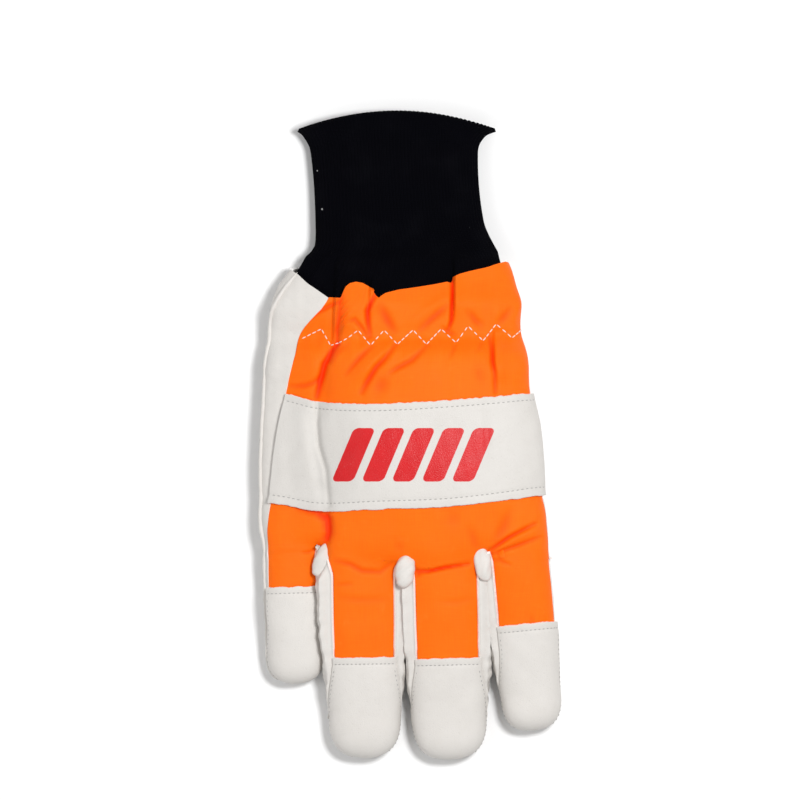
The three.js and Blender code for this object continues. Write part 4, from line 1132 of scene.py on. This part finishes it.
def painted_fold_shade(points, folds):
    """Painted shade for each point of the back, from 0 to 1 by how deep in a fold it lies; the underside has
    none.
    """
    x, y, z = points
    depth = np.clip(folds_depth(x, y, folds), 0, None)
    return np.clip(depth / FULL_SHADE_DEPTH, 0, 1) ** 1.3 * (z > body_middle(x, y))


def declare_sheet(points, keep=True):
    """Measures the size that a flat panel was cut to, along its own surface, and does nothing further with
    it.
    """
    cells = np.sqrt((cell_crosses(points) ** 2).sum(axis=0))
    area = float((cells * keep).sum()) / 1e6


def painted(piece, *materials):
    piece.data.materials.clear()
    for material in materials:
        piece.data.materials.append(material)


def worn_edge(x, seed):
    """How far a cut edge wanders from its line."""
    waves, nicks = ripples(x, 0 * x, 0 * x, 5, seed), ripples(x, 0 * x, 0 * x, 1.8, seed + 1)
    return EDGE_WANDER * waves + 0.5 * EDGE_WANDER * nicks


# The pieces.


def cloth_piece(name, rays, keep=None, round_off=0.5):
    points = meet(rays, 0, on_cloth)
    # The cloth's folds get painted shade.
    piece = grid_piece(name, points, rays[1], keep, fold_shade=painted_fold_shade(points, FOLDS))
    painted(piece, CLOTH_ORANGE)
    give_wall(piece, CLOTH, round_off)
    return piece, points


def leather_piece(name, points, way, keep=None, close=True, round_off=0.35):
    """A piece of the plain leather, lying on the ground where it reaches it."""
    piece = grid_piece(name, points, way, keep, floor=0, close=close)
    painted(piece, LEATHER_GRAIN, LEATHER_EDGE)
    give_wall(piece, LEATHER, round_off, rim=1)
    return piece


ruffle = lambda x: np.interp(x, *RUFFLE)
upper_rays = across_back(lambda x: strap_wrist(x) - LAP, ruffle, rows=140, count=270)
gathered_cloth, points = cloth_piece("gathered_back_cloth", upper_rays, round_off=0.7)
declare_sheet(points)
finish_piece(gathered_cloth, "cloth", "back_panel_upper")

strap_rays = across_back(
    lambda x: strap_finger(x) + worn_edge(x, 21), lambda x: strap_wrist(x) + worn_edge(x, 31),
    rows=84, count=230,
)
points = meet(strap_rays, LAYER_GAP + LEATHER, on_strap)
# The strap's folds get painted shade.
strap_fold_shade = painted_fold_shade(points, STRAP_FOLDS)
strap = grid_piece("knuckle_strap_leather", points, strap_rays[1], fold_shade=strap_fold_shade)
painted(strap, LEATHER_PRINTED, LEATHER_EDGE)
give_wall(strap, LEATHER, 0.4, rim=1)
declare_sheet(points)
finish_piece(strap, "leather", "knuckle_strap")

lower_rays, lower_keep = comb_rays(
    back_ray, lambda x, on_back: strap_finger(x) + LAP, body_rows=80, finger_rows=72,
    columns=[np.linspace(0, 1, 58)] * 4, ends=[f.cap_start + LAP for f in FINGER_LIST],
)
lower_cloth, points = cloth_piece("lower_back_cloth", lower_rays, lower_keep)
declare_sheet(points, lower_keep)
finish_piece(lower_cloth, "cloth", "back_panel_lower")


def palm_top(x, on_back):
    return np.where(on_back, np.interp(x / BODY_WIDTH, EAR["across"], EAR["up"]) * BODY_LENGTH, BODY_LENGTH)


palm_rays, palm_keep = comb_rays(
    palm_ray, palm_top, body_rows=136, finger_rows=90,
    columns=[np.linspace(0, 1, count) for count in (64, 40, 40, 40)], ends=[f.reach for f in FINGER_LIST],
)
palm_points = meet(palm_rays, 0, on_palm)
thumb_depth = own_distance(THUMB_TUBE)(palm_points)
in_bore = (thumb_depth < -LEATHER) & (palm_points[1] > THUMB_ROOT_UP * BODY_LENGTH - BORE_LENGTH)
palm_keep &= ~(in_bore[1:, 1:] & in_bore[:-1, 1:] & in_bore[1:, :-1] & in_bore[:-1, :-1])
palm = leather_piece("palm_and_finger_fronts", palm_points, palm_rays[1], palm_keep)
finish_piece(palm, "leather", "palm_leather")


def cap_level(f, s):
    """A cap lies over the cloth, then comes down slowly, and its edge still stands over the palm's."""
    end = f.cap_start + LAP
    return mix(LAYER_GAP + LEATHER, 0.45, ease(end, end + 0.8 * (f.reach - end), s))


for k, f in enumerate(FINGER_LIST):
    shares = np.concatenate([np.linspace(0, 0.08, 7)[:-1], np.linspace(0.08, 1, 62)])
    c, s = np.meshgrid(np.linspace(0, 1, 46), mix(f.cap_start, f.reach, shares))
    x = c * 30 + 40 * k
    s = s + worn_edge(x, 51) * (1 - ease(f.cap_start, f.cap_start + 5, s))
    rays = back_ray(k, s, c, f.along[1] * s)
    sewn = CAP_DENT * bell(s - f.cap_start - CAP_STITCH, STITCH_DENT_HALF)
    uneven = 0.1 * ripples(c * 30, s, 0 * s, 12, 61 + k)
    points = meet(rays, cap_level(f, s) + uneven - sewn, own_distance(f))
    cap = leather_piece(f"{f.name}_fingertip_cap", points, rays[1])
    finish_piece(cap, "leather", f"fingertip_cap_{f.name}")

# The leather gathered at each fork: the pixel at the lump's middle, its half width, half length and half
# height, and its lean.
LUMPS = [
    ((323.5, 560), 4.3, 7.8, 3.0, -24),
    ((405, 571), 4.3, 7.4, 3.1, -8),
    ((483, 564), 3.7, 7.8, 2.3, 8),
]
LUMP_BLUNT, LUMP_UP, LUMP_SUNK = 0.86, 3, 1


def add_lump(k, strip):
    """A small folded lump of the strip's own leather, where it turns round the fork."""
    (px, py), wide, long, high, lean = LUMPS[k]
    deselect()
    bpy.ops.mesh.primitive_uv_sphere_add(segments=56, ring_count=32, radius=1)
    lump = bpy.context.object
    corners = np.empty(len(lump.data.vertices) * 3)
    lump.data.vertices.foreach_get("co", corners)
    corners = corners.reshape(-1, 3).T
    corners = np.sign(corners) * np.abs(corners) ** LUMP_BLUNT
    across, along, up = corners * np.array([wide, long, high])[:, None]
    folded = 0.22 * ripples(0.8 * across, 0.8 * along - 0.5 * across, 0.4 * up, 3.8, 101 + 7 * k)
    across, along, up = (v + folded * c for v, c in zip((across, along, up), corners))
    cos, sin = math.cos(math.radians(lean)), math.sin(math.radians(lean))
    x, y = from_pixel(px, py)
    top_y = max(y, fork_line(x)) + LUMP_UP
    top = meet(upright_rays(np.array([x]), top_y), 0, hand_distance)[2, 0]
    low = top - 0.25 * (top_y - y - LUMP_UP) - LUMP_SUNK
    places = np.array([x + across * cos - along * sin, y + across * sin + along * cos, low + up])
    place_vertices(lump, places)
    painted(lump, LEATHER_GRAIN)
    bpy.ops.object.shade_smooth()
    strip.select_set(True)
    bpy.context.view_layer.objects.active = strip
    bpy.ops.object.join()


for k in range(LAST):
    a, b = FINGER_LIST[k], FINGER_LIST[k + 1]
    points, way = strip_points(k, leg_rows=110, count=40)
    strip = leather_piece(f"finger_strip_{a.name}_{b.name}", points, way, close=False, round_off=0.3)
    add_lump(k, strip)
    finish_piece(strip, "leather", f"fourchette_{a.name}_{b.name}")

# The seam along the outline stands up as a thin ridge of leather.
OUTLINE_TOP, OUTLINE_END, OUTLINE_LEVEL, OUTLINE_SMOOTH = 0.985, 0.95, -0.2, 6
OUTLINE_RISE, OUTLINE_HALF, OUTLINE_OUT, OUTLINE_TAPER = 0.3, 0.78, 1.15, 0.02


def outline_rays():
    """Rays of the palm's leather along the left outline of the hand, a little above its widest line."""
    f, fork = FINGER_LIST[0], fork_line(fork_x(0))
    body_y = np.linspace(OUTLINE_TOP * BODY_LENGTH, fork, 150)
    finger_s = np.linspace(f.root, OUTLINE_END * f.reach, 110)[1:]
    s = np.concatenate([f.root + fork - body_y, finger_s])[:, None]
    y = np.concatenate([body_y, f.along[1] * finger_s])[:, None]
    c = np.linspace(0, 0.4, 60)[None, :]
    way = palm_ray(0, s + 0 * c, c + 0 * s, y + 0 * c)[1]
    widest = np.array([np.interp(OUTLINE_LEVEL, -row, c[0]) for row in way[2]])
    count = 2 * OUTLINE_SMOOTH + 1
    widest = np.convolve(np.pad(widest, OUTLINE_SMOOTH, mode="edge"), np.ones(count) / count, mode="valid")
    return palm_ray(0, s, widest[:, None], y)


start, way = outline_rays()
line = meet((start, way), OUTLINE_RISE, hand_distance)[:, :, 0]
run, out = unit(np.gradient(line, axis=1)), way[:, :, 0]
beside = unit(np.cross(out, run, axis=0))
turns = np.linspace(0, 2 * np.pi, 15)[None, None, :]
share = np.linspace(0, 1, line.shape[1])[None, :, None]
radius = OUTLINE_HALF * np.sqrt(np.clip(np.minimum(share, 1 - share) / OUTLINE_TAPER, 0.001, 1))
radius = radius * (1 + 0.1 * ripples(line[0], line[1], line[2], 6, 121)[None, :, None])
ring = out[:, :, None] * np.cos(turns) * OUTLINE_OUT + beside[:, :, None] * np.sin(turns)
ridge = grid_piece("outline_seam", line[:, :, None] + radius * ring, ring, floor=0, close=True)
painted(ridge, LEATHER_GRAIN)
bpy.ops.object.shade_smooth()
finish_piece(ridge, "leather")

for name, half in (("thumb_under", -1), ("thumb_over", 1)):
    rays = thumb_rays(half, rows=90, count=60, clearance=0.15)
    thumb_half = leather_piece(name, meet(rays, 0, on_thumb), rays[1])
    finish_piece(thumb_half, "leather", "thumb_back" if half < 0 else "thumb_front")

CUFF_RIBS, RIB_COLUMNS, CUFF_BEND, CUFF_END = 104, 8, 12, 68.5
ribs = np.linspace(0, 1, CUFF_RIBS * RIB_COLUMNS + 1)[:-1]
rib_inset = RIB_HEIGHT * (0.5 - 0.5 * np.cos(2 * np.pi * CUFF_RIBS * ribs)) ** 0.8
tucked, free = np.linspace(-CUFF_TUCK - 5, CUFF_BEND, 13), np.linspace(CUFF_BEND, CUFF_END, 30)
points = cuff_points(np.concatenate([tucked, free[1:]]), CUFF_RIBS * RIB_COLUMNS, rib_inset)
points = np.concatenate([points, points[:, :, :1]], axis=2)
middles = points.mean(axis=2, keepdims=True)
cuff = grid_piece("ribbed_cuff", points, points - middles, floor=0, close=True)
painted(cuff, KNIT_BLACK)
give_wall(cuff, KNIT, 0.5)
finish_piece(cuff, "knit", "knit_cuff")

# The sewing. One stitch is modelled, and copied along each line.

dice = np.random.default_rng(7)


def sewing_line(rays, level, distance):
    """Points of a line on a surface, with its outward normals there."""
    points = meet(rays, level, distance)[:, 0]
    shifts = 0.15 * np.eye(3)[:, :, None]
    return points, unit(np.array([distance(points + shift) - distance(points - shift) for shift in shifts]))


def stitch_model(long, thick):
    deselect()
    bpy.ops.mesh.primitive_uv_sphere_add(segments=8, ring_count=6, radius=thick / 2000)
    model = bpy.context.object
    edit((bpy.ops.transform.resize, {"value": (1, 1, long / thick)}))
    bpy.ops.object.shade_smooth()
    return model


def sew(name, lines, pitch, long, thick, sunk, material, slot):
    """Stitches along lines of points on a surface; each line comes with its outward normals."""
    model = stitch_model(long, thick)
    copies = []
    for points, normals in lines:
        walked = arc_lengths(points[:, None], 1)[0]
        count = max(1, round(walked[-1] / pitch))
        for place in (np.arange(count) + 0.5) / count * walked[-1]:
            at, ahead, behind = (
                np.array([np.interp(place + step, walked, row) for row in points])
                for step in (0, 0.4 * long, -0.4 * long)
            )
            up = mathutils.Vector([np.interp(place, walked, row) for row in normals]).normalized()
            run = mathutils.Vector(ahead - behind).normalized()
            side = up.cross(run).normalized()
            run = (run + side * dice.normal(0, 0.05)).normalized()
            up = run.cross(side).normalized()
            where = (mathutils.Vector(at) + up * (thick * 0.5 - sunk) - mathutils.Vector(ORIGIN)) / 1000
            copy = model.copy()
            copy.data = model.data.copy()
            bpy.context.scene.collection.objects.link(copy)
            turn = mathutils.Matrix((side, up, run)).transposed().to_4x4()
            size = mathutils.Matrix.Diagonal((1, 1, dice.uniform(0.9, 1.08), 1))
            copy.matrix_world = mathutils.Matrix.Translation(where) @ turn @ size
            copies.append(copy)
    bpy.data.objects.remove(model)
    deselect()
    for copy in copies:
        copy.select_set(True)
    bpy.context.view_layer.objects.active = copies[0]
    bpy.ops.object.transform_apply(location=True, rotation=True, scale=True)
    bpy.ops.object.join()
    sewn = bpy.context.object
    sewn.name = sewn.data.name = name
    painted(sewn, material)
    finish_piece(sewn, slot)


def strap_line(edge, inset):
    c = np.linspace(0.012, 0.988, 260)[None, :]
    return sewing_line(seam_to_seam(c, edge(0.0), lambda x: edge(x) + inset), LAYER_GAP + LEATHER, on_strap)


def cap_line(k, s, c):
    """A line on a fingertip cap, at stations s and places c across it."""
    f = FINGER_LIST[k]
    s, c = (v[None] for v in np.broadcast_arrays(s, c))
    return sewing_line(back_ray(k, s, c, f.along[1] * s), cap_level(f, s), own_distance(f))


def cap_sides(k):
    f = FINGER_LIST[k]
    s = np.linspace(f.cap_start + 5, f.cap_start + 0.93 * (f.reach - f.cap_start), 120)
    return [cap_line(k, s, c) for c in (0.035, 0.965)]


sew(
    "strap_stitches", [strap_line(*seam) for seam in STRAP_SEAMS],
    pitch=2.3, long=1.35, thick=0.42, sunk=0.16, material=THREAD_GREY, slot="leather",
)
sew(
    "cap_stitches",
    [cap_line(k, f.cap_start + CAP_STITCH, np.linspace(0.03, 0.97, 90)) for k, f in enumerate(FINGER_LIST)],
    pitch=1.9, long=1.1, thick=0.38, sunk=0.15, material=THREAD_GREY, slot="leather",
)
sew(
    "cap_side_stitches", [line for k in range(LAST + 1) for line in cap_sides(k)],
    pitch=2.1, long=1.0, thick=0.34, sunk=0.15, material=THREAD_GREY, slot="leather",
)
# The zigzag of stitches over the elastic, traced in pixels.
ELASTIC = [
    (301.4, 339), (321.5, 328.8), (330.4, 345.6), (339, 343), (348, 338), (358, 330), (370.6, 345.6),
    (384, 330), (397.4, 344.5), (413, 330), (426.4, 344.5), (441, 329), (456, 343), (468, 326), (483, 341),
    (496, 324), (512, 338), (521, 330),
]


def cloth_line(a, b):
    """A straight line of stitches between two pixels, on the cloth of the back."""
    x, y = from_pixel(*(np.linspace(a[i], b[i], 12)[None, :] for i in (0, 1)))
    return sewing_line(upright_rays(x, y), 0, on_cloth)


sew(
    "elastic_stitches", [cloth_line(a, b) for a, b in zip(ELASTIC[:-1], ELASTIC[1:])],
    pitch=2.75, long=2.1, thick=0.55, sunk=0.12, material=THREAD_WHITE, slot="cloth",
)


# Floor and light: a lamp from the upper right, a weaker one from the left, and a bright room.

deselect()
bpy.ops.mesh.primitive_plane_add(size=6)
floor = bpy.context.object
floor.name = "floor"
painted(floor, floor_finish())

LAMPS = ("key", (0.34, 0.18, 1.18), 0.25, 11.6), ("fill", (-0.8, -0.2, 1.0), 0.8, 3.5)
for name, place, size, watts in LAMPS:
    bpy.ops.object.light_add(type="AREA", location=place)
    lamp = bpy.context.object
    lamp.name, lamp.data.size, lamp.data.energy = name, size, watts
    aim = mathutils.Vector((LOOK_X, LOOK_Y, 0)) - lamp.location
    lamp.rotation_euler = aim.to_track_quat("-Z", "Y").to_euler()

world = bpy.data.worlds.new("studio")
world.use_nodes = True
room = world.node_tree.nodes["Background"].inputs
room["Color"].default_value, room["Strength"].default_value = (1, 1, 1, 1), 0.36
bpy.context.scene.world = world
bpy.context.scene.view_settings.view_transform = "Standard"
